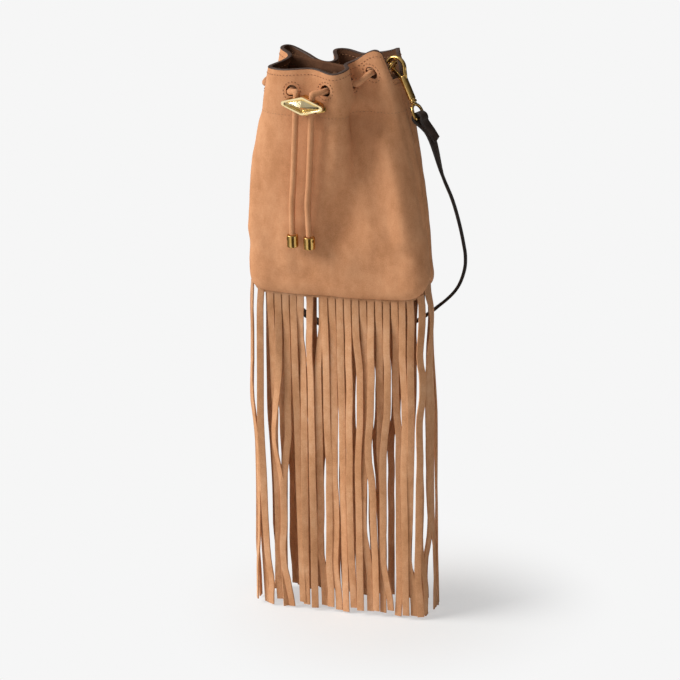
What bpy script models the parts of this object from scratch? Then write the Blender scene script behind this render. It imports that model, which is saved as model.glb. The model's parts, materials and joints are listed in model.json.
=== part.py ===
"""Fringed suede drawstring bag.

A soft bucket bag of suede, gathered at the mouth by a cord through eight punched
holes, with a metal slider on the cord's tails, a long cut fringe sewn into the base
seam, and a short leather strap clipped to a ring inside the mouth at each side.

Frame: metres, +Z up, front of the bag towards -Y, origin in the middle of the mouth
at the height of the drawstring holes, where a hand or a hook holds the bag up.
"""

from math import cos, pi, radians, sin

import bmesh
import bpy
import numpy as np
from mathutils import Matrix, Vector

MM = 0.001

# Heights, measured from the drawstring holes
BODY_DROP = 174 * MM
FRINGE_LENGTH = 290 * MM
FACING_DROP = 22 * MM
BASE_Z = -BODY_DROP
TIP_Z = BASE_Z - FRINGE_LENGTH
FACING_LOW_Z = -FACING_DROP

# Base outline
BASE_WIDTH = 160 * MM
BASE_DEPTH = 46 * MM
BASE_CORNER = 16 * MM

# Layers of the wall
SKIN = 1.6 * MM
FACING = 1.2 * MM
LINING = 0.8 * MM
GAP = 0.3 * MM
FACING_GAP = 0.5 * MM

# Gathered mouth: the rim as a hand would draw it, from the left seam round the front
# to the right seam, then round the back (x, y, height, all in millimetres)
RIM_FRONT = [
    (-43.6, 5, 19), (-47.4, -2, 16.5), (-54, -8.6, 15), (-53.4, -17.5, 14.7),
    (-44.6, -27, 15.2), (-30.5, -31, 16), (-20.5, -30.3, 17.1), (-9.9, -30.2, 17.6),
    (0.5, -34.5, 15.8), (8.6, -37.2, 15.2), (15.4, -34, 15.7), (18.2, -26, 17.2),
    (16.4, -16.5, 17.9), (12.6, -7, 17.3), (13.2, 0, 18), (19.6, 1.4, 21.8),
    (27, 0.2, 25), (35, 0.4, 29.5), (40.4, 2.6, 24), (42.9, 7, 20), (43, 13, 20),
]
RIM_BACK = [
    (43, 13, 20), (44, 17.8, 21.5), (47.8, 21.6, 24.5), (47.2, 27, 25), (40.5, 30.6, 23.5),
    (28.4, 33.4, 20),
    (13.4, 37.6, 17.5), (3.4, 39.6, 18.5), (-7, 39.4, 20.4), (-13.2, 36, 19.9),
    (-13.6, 30.4, 18.5), (-9.6, 25.2, 16.6), (-7.6, 20.6, 14.6), (-12.4, 18.8, 13.1),
    (-23.2, 22.6, 14.2), (-33, 28, 17), (-42, 32.4, 19.7), (-50, 34.6, 21.8),
    (-55.4, 32.6, 22.9), (-57.4, 26.6, 22.5), (-54.4, 19.6, 21.7), (-48.6, 13, 20.6),
    (-43.6, 5, 19),
]
HARMONICS = 14
FULLNESS = 0.08
SAMPLES = 256

# The right clip hooks a ring that stands inside, over a dip in the rim; the left clip
# hooks a ring that hangs outside, behind the bag's back left corner
CLIP_PLACES = {"right": 0.5, "left": 0.905}
CLIP_Z = 6.3 * MM
DIP_Z = 4.1 * MM
DIP_FLAT = 7.5 * MM
DIP_END = 13 * MM
RIM_LENGTH = 348 * MM

# Drawstring holes, by place round the mouth (0 left seam, 0.5 right seam)
HOLE_RADIUS = 5 * MM
PUNCH_REACH = 5.5 * MM
HOLE_PLACES = {
    "L1": (0.164, -1), "R1": (0.247, 1), "R2": (0.362, 3), "R3": (0.424, 10),
    "R4": (0.728, 2), "L4": (0.806, 2), "L3": (0.966, 1), "L2": (0.046, -1),
}

# Drawstring and what is on it
CORD_RADIUS = 2.6 * MM
CHANNEL_CLEARANCE = 0.4 * MM
CAP_RADIUS = 4.9 * MM
CAP_LENGTH = 10.4 * MM

# Slider
SLIDER_AT = Vector((-14.7, -41.8, -9.0)) * MM
SLIDER_PITCH = 6.8 * MM
SLIDE_LINE = Vector((-0.10, 0.10, -1.0)).normalized()
FACE_WIDTH = 36 * MM
FACE_HEIGHT = 15.6 * MM
FACE_THICK = 2.2 * MM
FACE_RIM = 1.9 * MM
FACE_RECESS = 0.7 * MM
FACE_POINT = 0.5 * MM
BLOCK_DEPTH = 7.0 * MM
BLOCK_SHARE = 0.9
PLATE_THICK = 1.4 * MM
PLATE_DROP = 3.6 * MM

# Clip
CLIP_TILT = {"right": radians(26), "left": radians(10)}
BARREL_RADIUS = 3.15 * MM
BARREL_LENGTH = 19.5 * MM
HUB_HEIGHT = 4.4 * MM
GROOVE_DEPTH = 0.6 * MM
BOW_X = -3.0 * MM
BOW_Z = 12.9 * MM
BOW_RADIUS = 8.4 * MM
BOW_WIRE = 1.75 * MM
GATE_PIVOT = Vector((-1.9, 0, 2.3)) * MM
GATE_WIDTH = 2.4 * MM
GATE_SLOT = 0.3 * MM
PIN_RADIUS = 0.6 * MM

# Swivel eye and ring
EYE_WIRE = 1.3 * MM
EYE_HALF = 6.5 * MM
EYE_DROP = 13.6 * MM
STEM_RADIUS = 1.2 * MM
STEM_LENGTH = 6 * MM
RING_WIRE = 1.1 * MM
RING_HALF = 4.1 * MM
RING_TALL = 13 * MM
RING_LEAN = {"right": radians(29), "left": radians(122)}
RING_PLAY = 0.5 * MM
RING_OFF_CENTRE = 1 * MM
RING_IN = 1.4 * MM
RING_RISE = 11.3 * MM
TAB_WIDTH = 5.2 * MM
TAB_LEATHER = 1.2 * MM
TAB_LENGTH = 16 * MM
TAB_GAP = 0.5 * MM
TAB_HEAD = RING_WIRE + GAP + TAB_LEATHER
LEFT_TAB_Z = -2 * MM

# Strap
STRAP_WIDTH = 9.6 * MM
STRAP_THICK = 2.6 * MM
STRAP_TURN_Z = -44 * MM
STRAP_TURNED_Z = -110 * MM
LOOP_RADIUS = 4.2 * MM
LOOP_NECK = 15 * MM
LOOP_FLAP = 8 * MM

# Fringe
STRANDS_PER_SIDE = 28
STRAND_WIDTH = 6.3 * MM
STRAND_THICK = 1.4 * MM
BAND_HEIGHT = 5 * MM
STRAND_STEPS = 3

# Looks: colour, roughness, metallic
SUEDE = ((0.50, 0.27, 0.14), 0.95, 0.0)
SUEDE_INSIDE = ((0.42, 0.22, 0.11), 0.95, 0.0)
WOVEN_LINING = ((0.30, 0.17, 0.10), 0.85, 0.0)
GOLD = ((0.83, 0.62, 0.27), 0.3, 1.0)
GOLD_PALE = ((0.94, 0.80, 0.50), 0.18, 1.0)
STRAP_LEATHER = ((0.03, 0.02, 0.02), 0.5, 0.0)


def clear_scene():
    for thing in list(bpy.data.objects):
        bpy.data.objects.remove(thing, do_unlink=True)


def material(name, look):
    """A node's own material; look is (colour, roughness, metallic)."""
    colour, roughness, metallic = look
    made = bpy.data.materials.new(name)
    made.use_nodes = True
    shader = made.node_tree.nodes["Principled BSDF"]
    shader.inputs["Base Color"].default_value = (*colour, 1)
    shader.inputs["Roughness"].default_value = roughness
    shader.inputs["Metallic"].default_value = metallic
    return made


def add_object(name, points, faces, look, frame=None):
    """Make a mesh object from points and faces, with its faces turned outward."""
    mesh = bpy.data.meshes.new(name)
    mesh.from_pydata([tuple(p) for p in points], [], faces)
    work = bmesh.new()
    work.from_mesh(mesh)
    bmesh.ops.recalc_face_normals(work, faces=work.faces)
    if work.calc_volume(signed=True) < 0:
        bmesh.ops.reverse_faces(work, faces=work.faces)
    work.to_mesh(mesh)
    work.free()
    mesh.shade_smooth()
    mesh.set_sharp_from_angle(angle=radians(38))
    if look:
        mesh.materials.append(material(name, look))
    made = bpy.data.objects.new(name, mesh)
    bpy.context.collection.objects.link(made)
    if frame:
        made.matrix_world = frame
    return made


def apply_boolean(target, other, operation):
    """Join or cut target by other, and delete the helper."""
    step = target.modifiers.new(operation.lower(), "BOOLEAN")
    step.operation = operation
    step.object = other
    bpy.context.view_layer.update()
    ready = target.evaluated_get(bpy.context.evaluated_depsgraph_get())
    mesh = bpy.data.meshes.new_from_object(ready)
    target.modifiers.clear()
    target.data = mesh
    bpy.data.objects.remove(other, do_unlink=True)


def rings_to_faces(rings, sides, closed):
    """Faces of a tube whose ring i holds the points i*sides to i*sides+sides-1."""
    faces = []
    steps = rings if closed else rings - 1
    for i in range(steps):
        a, b = i * sides, (i + 1) % rings * sides
        for j in range(sides):
            k = (j + 1) % sides
            faces.append((a + j, a + k, b + k, b + j))
    if not closed:
        faces.append(tuple(range(sides)))
        faces.append(tuple((rings - 1) * sides + j for j in range(sides)))
    return faces


def tube(name, path, radius, look, frame=None, side=None, sides=8, closed=False):
    """Sweep a round section along a path; side is a direction square to a flat path."""
    points = []
    count = len(path)
    for i, here in enumerate(path):
        before = path[i - 1] if i or closed else here
        after = path[(i + 1) % count] if i < count - 1 or closed else here
        along = (after - before).normalized()
        across = (side - along * side.dot(along)).normalized()
        third = along.cross(across)
        for j in range(sides):
            a = 2 * pi * j / sides
            points.append(here + (across * cos(a) + third * sin(a)) * radius)
    return add_object(name, points, rings_to_faces(count, sides, closed), look, frame)


def turned(name, profile, look, frame=None, sides=12, axis="Z"):
    """Turn a profile of (radius, height) round an axis, closed by flat ends."""
    points = []
    for radius, height in profile:
        for j in range(sides):
            a = 2 * pi * j / sides
            p = (radius * cos(a), radius * sin(a), height)
            points.append(p if axis == "Z" else (p[0], p[2], p[1]))
    return add_object(name, points, rings_to_faces(len(profile), sides, False), look, frame)


def prism(name, outline, low, high, look, frame=None):
    """Extrude an outline of (x, z) points along Y from low to high."""
    count = len(outline)
    points = [(x, low, z) for x, z in outline] + [(x, high, z) for x, z in outline]
    return add_object(name, points, rings_to_faces(2, count, False), look, frame)


def round_path(points, closed, per_span):
    """Points along a smooth curve through the given points (centripetal spacing)."""
    pts = [Vector(p) for p in points]
    count = len(pts)
    out = []
    spans = count if closed else count - 1
    for i in range(spans):
        p1, p2 = pts[i], pts[(i + 1) % count]
        p0 = pts[i - 1] if i or closed else p1 * 2 - p2
        p3 = pts[(i + 2) % count] if i < count - 2 or closed else p2 * 2 - p1
        d0, d1, d2 = ((q - p).length ** 0.5 for p, q in ((p0, p1), (p1, p2), (p2, p3)))
        pull1 = (p1 - p0) * (d1 / d0) - (p2 - p0) * (d1 / (d0 + d1)) + (p2 - p1)
        pull2 = (p2 - p1) - (p3 - p1) * (d1 / (d1 + d2)) + (p3 - p2) * (d1 / d2)
        for s in range(per_span):
            t = s / per_span
            out.append(p1 * (2 * t ** 3 - 3 * t * t + 1) + pull1 * (t ** 3 - 2 * t * t + t)
                       + p2 * (3 * t * t - 2 * t ** 3) + pull2 * (t ** 3 - t * t))
    if not closed:
        out.append(pts[-1])
    return out


def even_run(points, count):
    """Resample an open hand-drawn run to count points, evenly by length."""
    line = np.array([tuple(p) for p in round_path(points, False, 12)])
    steps = np.hypot(*np.diff(line[:, :2], axis=0).T)
    along = np.concatenate([[0], np.cumsum(steps)])
    where = np.linspace(0, along[-1], count, endpoint=False)
    return np.stack([np.interp(where, along, line[:, i]) for i in range(3)], axis=1)


def base_outline(count):
    """Rounded rectangle from the middle of the left side, round the front, by length."""
    straight_x = BASE_WIDTH / 2 - BASE_CORNER
    straight_y = BASE_DEPTH / 2 - BASE_CORNER
    centres = [(-1, -1, 180), (1, -1, 270), (1, 1, 0), (-1, 1, 90)]
    line = [(-BASE_WIDTH / 2, 0)]
    for sx, sy, start in centres:
        for step in range(13):
            a = radians(start + 90 * step / 12)
            line.append((sx * straight_x + BASE_CORNER * cos(a),
                         sy * straight_y + BASE_CORNER * sin(a)))
    line.append((-BASE_WIDTH / 2, 0))
    line = np.array(line)
    along = np.concatenate([[0], np.cumsum(np.hypot(*np.diff(line, axis=0).T))])
    where = np.linspace(0, along[-1], count, endpoint=False)
    return np.interp(where, along, line[:, 0]) + 1j * np.interp(where, along, line[:, 1])


class Wall:
    """The gathered wall of the bag as one smooth surface of (place round, height)."""

    def __init__(self):
        half = SAMPLES // 2
        rim = np.vstack([even_run(RIM_FRONT, half), even_run(RIM_BACK, half)]) * MM
        self.k = np.arange(-HARMONICS, HARMONICS + 1)
        self.rim = self.spectrum(rim[:, 0] + 1j * rim[:, 1])
        self.base = self.spectrum(base_outline(SAMPLES))
        self.height = self.spectrum(rim[:, 2])
        order = np.maximum(np.abs(self.k) - 1, 0)
        self.fade = 1.5 + 0.22 * order
        self.round = np.where(order > 0, 1.3, 0)

    def spectrum(self, values):
        full = np.fft.fft(values) / SAMPLES
        return full[self.k]

    def rim_height(self, u):
        return float(np.real(np.sum(self.height * np.exp(2j * pi * self.k * u))))

    def top(self, u):
        """Share of the rim's height that is left at place u; it dips under the right clip."""
        away = abs(u - CLIP_PLACES["right"]) * RIM_LENGTH
        near = min(max((DIP_END - away) / (DIP_END - DIP_FLAT), 0), 1)
        low = (self.rim_height(u) - DIP_Z) * near * near * (3 - 2 * near)
        return 1 - low / (self.rim_height(u) - BASE_Z)

    def plan(self, u, v):
        """Outline point and outward direction at place u and share of height v."""
        rise = v ** self.fade
        rest = np.where(self.round > 0, (1 - v) ** np.maximum(self.round, 1), 1 - rise)
        full = 1 + FULLNESS * sin(pi * v ** 1.6)
        mix = (self.base * rest + self.rim * rise) * np.exp(2j * pi * self.k * u) * full
        at = np.sum(mix)
        out = -1j * np.sum(2j * pi * self.k * mix)
        out /= abs(out)
        return at, out

    def z(self, u, v):
        return BASE_Z + v * (self.rim_height(u) - BASE_Z)

    def share(self, u, z):
        """Share of the rim's height at which the wall at place u reaches height z."""
        return (z - BASE_Z) / (self.rim_height(u) - BASE_Z)

    def point(self, u, v, inset=0.0):
        at, out = self.plan(u, v)
        at = at - out * inset
        return Vector((at.real, at.imag, self.z(u, v)))

    def frame(self, u, z):
        """Matrix with X outward, Z up, placed on the wall's outer face."""
        at, out = self.plan(u, self.share(u, z))
        outward = Vector((out.real, out.imag, 0))
        along = Vector((0, 0, 1)).cross(outward)
        turn = Matrix((outward, along, (0, 0, 1))).transposed().to_4x4()
        return Matrix.Translation((at.real, at.imag, z)) @ turn


WALL = Wall()


def shell(name, places, rows, outer, inner, look, closed=False):
    """A sheet of leather on the wall; rows gives the share of height for each place."""
    columns = len(places)
    levels = len(rows(places[0]))
    points = []
    for inset in (outer, inner):
        for u in places:
            points += [WALL.point(u, v, inset) for v in rows(u)]

    def at(side, i, j):
        return side * columns * levels + (i % columns) * levels + j

    faces = []
    for i in range(columns if closed else columns - 1):
        for j in range(levels - 1):
            for side in (0, 1):
                faces.append((at(side, i, j), at(side, i + 1, j),
                              at(side, i + 1, j + 1), at(side, i, j + 1)))
        for j in (0, levels - 1):
            faces.append((at(0, i, j), at(0, i + 1, j), at(1, i + 1, j), at(1, i, j)))
    if not closed:
        for i in (0, columns - 1):
            for j in range(levels - 1):
                faces.append((at(0, i, j), at(0, i, j + 1), at(1, i, j + 1), at(1, i, j)))
    return add_object(name, points, faces, look)


def hole_frame(name):
    u, height = HOLE_PLACES[name]
    return WALL.frame(u % 1, height * MM)


def punch(target, names):
    """Cut the drawstring holes through one layer of the wall."""
    for name in names:
        frame = hole_frame(name) @ Matrix.Rotation(pi / 2, 4, "Y")
        profile = [(HOLE_RADIUS, -PUNCH_REACH), (HOLE_RADIUS, PUNCH_REACH)]
        cutter = turned("cutter", profile, None, frame, sides=8)
        apply_boolean(target, cutter, "DIFFERENCE")


SEAM_GAP = GAP / 2 / (BASE_WIDTH * 2 + BASE_DEPTH * 2)
LOWER_ROWS = (0, 0.22, 0.48, 0.75)
UPPER_ROWS = (0, 0.35, 0.7, 1)
COLUMNS = 68
LINING_COLUMNS = 30
LINING_SLACK = 2 * MM


def body_walls():
    front = np.arange(COLUMNS // 2 + 1) / COLUMNS
    front[0] += SEAM_GAP
    front[-1] -= SEAM_GAP
    back = front + 0.5

    def facing_rows(u):
        low = WALL.share(u, FACING_LOW_Z)
        return [low + (WALL.top(u) - low) * s for s in UPPER_ROWS]

    def panel_rows(u):
        return [WALL.share(u, FACING_LOW_Z) * s for s in LOWER_ROWS] + facing_rows(u)

    for name, places, holes in (("body_front_panel", front, ("L1", "R1", "R2", "R3", "L2")),
                                ("body_back_panel", back, ("R4", "L4", "L3"))):
        panel = shell(name, places, panel_rows, 0, SKIN, SUEDE)
        punch(panel, holes)

    ring = np.arange(COLUMNS) / COLUMNS
    hem = SKIN + FACING_GAP

    facing = shell("mouth_facing", ring, facing_rows, hem, hem + FACING, SUEDE_INSIDE, True)
    punch(facing, HOLE_PLACES)

    def lining_rows(u):
        low = WALL.share(u, BASE_Z + SKIN + 2 * GAP)
        high = WALL.share(u, FACING_LOW_Z - GAP)
        return [low + (high - low) * s for s in (0, 0.3, 0.65, 1)]

    loose = hem + LINING_SLACK
    shell("lining", np.arange(LINING_COLUMNS) / LINING_COLUMNS, lining_rows,
          loose, loose + LINING, WOVEN_LINING, True)

    count = LINING_COLUMNS
    outline = [WALL.point(i / count, 0, hem) for i in range(count)]
    points = [(p.x, p.y, BASE_Z) for p in outline] + [(p.x, p.y, BASE_Z + SKIN) for p in outline]
    add_object("base_panel", points, rings_to_faces(2, count, False), SUEDE_INSIDE)


def fringe(name, start):
    """Half of the fringe: a short uncut band with the strands hanging from it."""
    pitch = 0.5 / STRANDS_PER_SIDE
    perimeter = 2 * (BASE_WIDTH + BASE_DEPTH) - (8 - 2 * pi) * BASE_CORNER
    half_cut = STRAND_WIDTH / perimeter / 2
    top = BASE_Z - GAP
    levels = [top, top - BAND_HEIGHT]
    levels += [top - BAND_HEIGHT + (TIP_Z - top + BAND_HEIGHT) * s / STRAND_STEPS
               for s in range(1, STRAND_STEPS + 1)]
    edges = []
    for i in range(STRANDS_PER_SIDE):
        middle = start + pitch * (i + 0.5)
        edges += [middle - half_cut, middle + half_cut]
    last = STRANDS_PER_SIDE * 2 - 1
    points, index = [], {}
    for e, u in enumerate(edges):
        at, out = WALL.plan(u % 1, 0)
        for j, z in enumerate(levels):
            fall = max(levels[1] - z, 0) / (levels[1] - TIP_Z)
            sway = sin(2.3 * (e // 2) + 5 * fall) * 1.2 * MM * fall
            for side, inset in enumerate((0, STRAND_THICK)):
                p = at - out * inset
                index[e, j, side] = len(points)
                points.append((p.real, p.imag + sway, z))
    faces = []
    for e in range(last):
        strand = e % 2 == 0
        for j in range(len(levels) - 1 if strand else 1):
            for side in (0, 1):
                faces.append((index[e, j, side], index[e + 1, j, side],
                              index[e + 1, j + 1, side], index[e, j + 1, side]))
        for j in (0, len(levels) - 1 if strand else 1):
            faces.append((index[e, j, 0], index[e + 1, j, 0],
                          index[e + 1, j, 1], index[e, j, 1]))
    for e in range(last + 1):
        first = 0 if e in (0, last) else 1
        for j in range(first, len(levels) - 1):
            faces.append((index[e, j, 0], index[e, j + 1, 0],
                          index[e, j + 1, 1], index[e, j, 1]))
    return add_object(name, points, faces, SUEDE)


def slider_frame():
    """Frame of the slider: Z up along the tails, Y towards the bag."""
    up = -SLIDE_LINE
    across = Vector((0, 1, 0)).cross(up).normalized()
    depth = up.cross(across)
    turn = Matrix((across, depth, up)).transposed().to_4x4()
    return Matrix.Translation(SLIDER_AT) @ turn


def diamond(share, inset=0.0, drop=0.0):
    """Long diamond with blunt side tips, as (x, z) points."""
    w = FACE_WIDTH / 2 * share - inset * 1.5
    h = FACE_HEIGHT / 2 * share - inset
    blunt = 0.09
    side = [(w * (1 - blunt), h * blunt * 1.9), (w, h * blunt * 0.8),
            (w, -h * blunt * 0.8), (w * (1 - blunt), -h * blunt * 1.9)]
    top = [(-h * 0.1, h), (h * 0.1, h)]
    loop = [(x, z) for x, z in side] + [(-x, -z) for x, z in top]
    loop += [(-x, -z) for x, z in side] + top
    return [(x, z - drop) for x, z in loop]


def slider():
    frame = slider_frame()
    front = -BLOCK_DEPTH / 2 - GAP
    outer = diamond(1)
    inner = diamond(1, FACE_RIM)
    count = len(outer)
    y_front = front - FACE_THICK
    points = [(x, front, z) for x, z in outer] + [(x, y_front, z) for x, z in outer]
    points += [(x, y_front, z) for x, z in inner]
    points += [(x, y_front + FACE_RECESS, z) for x, z in inner]
    points.append((0, y_front - FACE_POINT, 0))
    faces = [tuple(range(count))]
    for ring in range(3):
        for i in range(count):
            k = (i + 1) % count
            faces.append((ring * count + i, ring * count + k,
                          ring * count + count + k, ring * count + count + i))
    for i in range(count):
        faces.append((3 * count + i, 3 * count + (i + 1) % count, 4 * count))
    add_object("slider_face", points, faces, GOLD_PALE, frame)

    back = BLOCK_DEPTH / 2
    block = prism("slider_body", diamond(BLOCK_SHARE), -back, back, GOLD, frame)
    plate = prism("helper", diamond(1, 0, PLATE_DROP), back - 0.2 * MM,
                  back + PLATE_THICK, None, frame)
    apply_boolean(block, plate, "UNION")
    for side in (-1, 1):
        reach = FACE_HEIGHT
        wide = CORD_RADIUS + CHANNEL_CLEARANCE
        place = frame @ Matrix.Translation((side * SLIDER_PITCH, 0, 0))
        cutter = turned("cutter", [(wide, -reach), (wide, reach)], None, place, sides=12)
        apply_boolean(block, cutter, "DIFFERENCE")


# Drawstring route: from the left end cap up through the slider, round the mouth
# through the holes, and down again (points in millimetres, or places at a hole)
TAIL_LEFT_LOW = [(-31.4, -32.4, -123), (-31.4, -32.4, -112), (-30.8, -32.6, -96)]
TAIL_RIGHT_LOW = [(-17.2, -32.8, -96), (-17.0, -32.6, -112), (-16.7, -32.6, -124)]
STRAIGHT_DOWN = 68 * MM
STRAIGHT_UP = 9 * MM
INSIDE = SKIN + FACING_GAP + FACING + CORD_RADIUS + 0.7 * MM
OUTSIDE = CORD_RADIUS + 0.7 * MM


def through(name, outward):
    """Three places where the cord passes a hole, outward or inward."""
    frame = hole_frame(name)
    middle = -(SKIN + FACING_GAP + FACING) / 2
    run = [frame @ Vector((x, 0, 0)) for x in (-INSIDE, middle, OUTSIDE)]
    return run if outward else run[::-1]


def tail(side):
    """Straight stretch of a tail from below the slider's travel to above the slider."""
    frame = slider_frame()
    x = side * SLIDER_PITCH
    return [frame @ Vector((x, 0, z)) for z in
            (-STRAIGHT_DOWN, -STRAIGHT_DOWN / 2, 0, STRAIGHT_UP - MM, STRAIGHT_UP)]


def drawstring_route():
    left = [Vector(p) * MM for p in TAIL_LEFT_LOW]
    right = [Vector(p) * MM for p in TAIL_RIGHT_LOW]
    route = left + tail(-1)
    route += through("L1", False) + through("L2", True)
    route += through("L3", False) + through("L4", True)
    route += through("R4", False) + through("R3", True)
    route += through("R2", False) + through("R1", True)
    route += tail(1)[::-1] + right
    return route


def drawstring():
    path = round_path(drawstring_route(), False, 2)
    curve = bpy.data.curves.new("drawstring", "CURVE")
    curve.dimensions = "3D"
    curve.bevel_depth = CORD_RADIUS
    curve.bevel_resolution = 2
    curve.use_fill_caps = True
    spline = curve.splines.new("POLY")
    spline.points.add(len(path) - 1)
    for place, p in zip(spline.points, path):
        place.co = (*p, 1)
    curve.materials.append(material("drawstring", SUEDE))
    made = bpy.data.objects.new("drawstring", curve)
    bpy.context.collection.objects.link(made)


def end_caps():
    """Metal caps crimped on the cord's ends, each starting where the cord stops."""
    for name, end in (("cord_end_left", TAIL_LEFT_LOW[0]), ("cord_end_right", TAIL_RIGHT_LOW[-1])):
        top = Vector(end) * MM - Vector((0, 0, GAP))
        lip = 0.6 * MM
        profile = [(CAP_RADIUS - lip, 0), (CAP_RADIUS, -lip), (CAP_RADIUS, lip - CAP_LENGTH),
                   (CAP_RADIUS - lip, -CAP_LENGTH)]
        turned(name, profile, GOLD, Matrix.Translation(top), sides=16)


def wall_frame(side):
    """Frame on the wall's outer face where a ring is sewn on: X outward, Z up."""
    return WALL.frame(CLIP_PLACES[side], CLIP_Z if side == "right" else LEFT_TAB_Z)


def ring_frame(side):
    """Frame of a ring: origin on its free bar, Z from the bar in the tab towards it."""
    lean = Matrix.Rotation(RING_LEAN[side], 4, "Y")
    if side == "right":
        return wall_frame(side) @ Matrix.Translation((-RING_IN, 0, RING_RISE)) @ lean
    sewn = Matrix.Translation((TAB_HEAD + TAB_GAP, 0, 0))
    return wall_frame(side) @ sewn @ lean @ Matrix.Translation((0, 0, RING_TALL))


def clip_frame(side):
    """Frame of a clip hung on its ring: origin on the barrel's top, Z towards the bow."""
    wall = wall_frame(side)
    bar = (wall.inverted() @ ring_frame(side)).translation
    inner = BOW_RADIUS - BOW_WIRE - RING_PLAY - RING_WIRE
    drop = (inner ** 2 - RING_OFF_CENTRE ** 2) ** 0.5
    bow = bar + Vector((RING_OFF_CENTRE, 0, -drop))
    tilt = Matrix.Rotation(-CLIP_TILT[side], 4, "Y")
    return wall @ Matrix.Translation(bow) @ tilt @ Matrix.Translation((-BOW_X, 0, -BOW_Z))


def bow_path():
    """Centre line of the bow, from the barrel round to the tip beside the gate."""
    arc = [radians(a) for a in range(-35, 131, 15)]
    path = [Vector((0.9, 0, 0.5)) * MM, Vector((3.0, 0, 4.6)) * MM]
    path += [Vector((BOW_X + BOW_RADIUS * cos(a), 0, BOW_Z + BOW_RADIUS * sin(a))) for a in arc]
    return path


def clip(side):
    frame = clip_frame(side)
    body = side + "_hook_body"
    low = -BARREL_LENGTH
    r = BARREL_RADIUS
    profile = [(r - 0.5 * MM, low), (r, low + 0.5 * MM), (r, low + 2 * MM),
               (r - GROOVE_DEPTH, low + 2.3 * MM), (r - GROOVE_DEPTH, low + 2.9 * MM),
               (r, low + 3.2 * MM), (r, HUB_HEIGHT - 0.6 * MM), (r - 0.6 * MM, HUB_HEIGHT)]
    barrel = turned(body, profile, GOLD, frame)
    bow = tube("helper", bow_path(), BOW_WIRE, None, frame, Vector((0, 1, 0)))
    apply_boolean(barrel, bow, "UNION")

    half = GATE_WIDTH / 2 + GATE_SLOT
    x0, x1 = -r - MM, GATE_PIVOT.x + 2.1 * MM
    z0, z1 = GATE_PIVOT.z - 2.2 * MM, HUB_HEIGHT + MM
    slot = prism("cutter", [(x0, z0), (x1, z0), (x1, z1), (x0, z1)], -half, half, None, frame)
    apply_boolean(barrel, slot, "DIFFERENCE")
    pivot = frame @ Matrix.Translation(GATE_PIVOT)
    bore = PIN_RADIUS + GAP / 2
    hole = turned("cutter", [(bore, -2 * r), (bore, 2 * r)], None, pivot, 8, "Y")
    apply_boolean(barrel, hole, "DIFFERENCE")
    stem = STEM_RADIUS + GAP
    hole = turned("cutter", [(stem, low - MM), (stem, low + STEM_LENGTH + GAP)], None, frame, 10)
    apply_boolean(barrel, hole, "DIFFERENCE")

    reach = 2.7 * MM
    turned(side + "_gate_pin", [(PIN_RADIUS, -reach), (PIN_RADIUS, reach)], GOLD, pivot, 8, "Y")

    tip = bow_path()[-1] - GATE_PIVOT
    length = tip.length - BOW_WIRE - 0.5 * MM
    along = tip.normalized()
    across = Vector((along.z, 0, -along.x))
    outline = gate_outline(along, across, length)
    gate = prism(side + "_hook_gate", outline, -GATE_WIDTH / 2, GATE_WIDTH / 2, GOLD, pivot)
    hole = turned("cutter", [(bore, -r), (bore, r)], None, pivot, 8, "Y")
    apply_boolean(gate, hole, "DIFFERENCE")


def gate_outline(along, across, length):
    """Flat lever with a round end at the pivot, seen from the side."""
    hub = 1.7 * MM
    half = 1.15 * MM
    base = [-along * hub * cos(a) + across * hub * sin(a)
            for a in (radians(d) for d in range(-80, 81, 32))]
    tip = [along * length + across * half * 0.6, along * length - across * half * 0.6]
    tip.insert(0, along * (length - MM) + across * half)
    tip.append(along * (length - MM) - across * half)
    return [(p.x, p.z) for p in base + tip]


def swivel_eye(side):
    """Wire eye on a stem that turns in the barrel; the strap loops round its bar."""
    frame = clip_frame(side) @ Matrix.Translation((0, 0, -BARREL_LENGTH - GAP))
    collar = 2 * MM
    drop = EYE_DROP - GAP
    corner = 2.5 * MM
    arc = [radians(a) for a in range(0, 181, 30)]
    path = [Vector((0, EYE_HALF * cos(a), -collar - EYE_HALF + EYE_HALF * sin(a) + EYE_WIRE / 2))
            for a in arc]
    bend = [Vector((0, -EYE_HALF + corner * (1 - cos(a)), -drop + corner * (1 - sin(a))))
            for a in (0, pi / 4, pi / 2)]
    path += bend
    path += [Vector((0, -p.y, p.z)) for p in bend[::-1]]
    eye = tube(side + "_swivel_eye", path, EYE_WIRE, GOLD, frame, Vector((1, 0, 0)), closed=True)
    wide = BARREL_RADIUS - 0.8 * MM
    profile = [(wide - 0.4 * MM, -collar), (wide, -collar + 0.4 * MM), (wide, 0),
               (STEM_RADIUS, 0), (STEM_RADIUS, STEM_LENGTH)]
    stem = turned("helper", profile, None, frame)
    apply_boolean(eye, stem, "UNION")


def strap_ring(side):
    frame = ring_frame(side)
    arc = [radians(a) for a in range(0, 181, 30)]
    path = [Vector((0, RING_HALF * cos(a), RING_HALF * (sin(a) - 1))) for a in arc]
    corner = 1.2 * MM
    bend = [Vector((0, -RING_HALF, corner - RING_TALL)), Vector((0, corner - RING_HALF, -RING_TALL))]
    path += bend
    path += [Vector((0, -p.y, p.z)) for p in bend[::-1]]
    tube(side + "_d_ring", path, RING_WIRE, GOLD, frame, Vector((1, 0, 0)), closed=True)

    wall = wall_frame(side)
    bar = (wall.inverted() @ frame @ Vector((0, 0, -RING_TALL)))
    place = wall @ Matrix.Translation(bar)
    half = TAB_WIDTH / 2
    tab = prism(side + "_d_ring_tab", tab_outline(side, bar), -half, half, SUEDE, place)
    bore = RING_WIRE + GAP
    hole = turned("cutter", [(bore, -TAB_WIDTH), (bore, TAB_WIDTH)], None, place, 8, "Y")
    apply_boolean(tab, hole, "DIFFERENCE")


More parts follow.
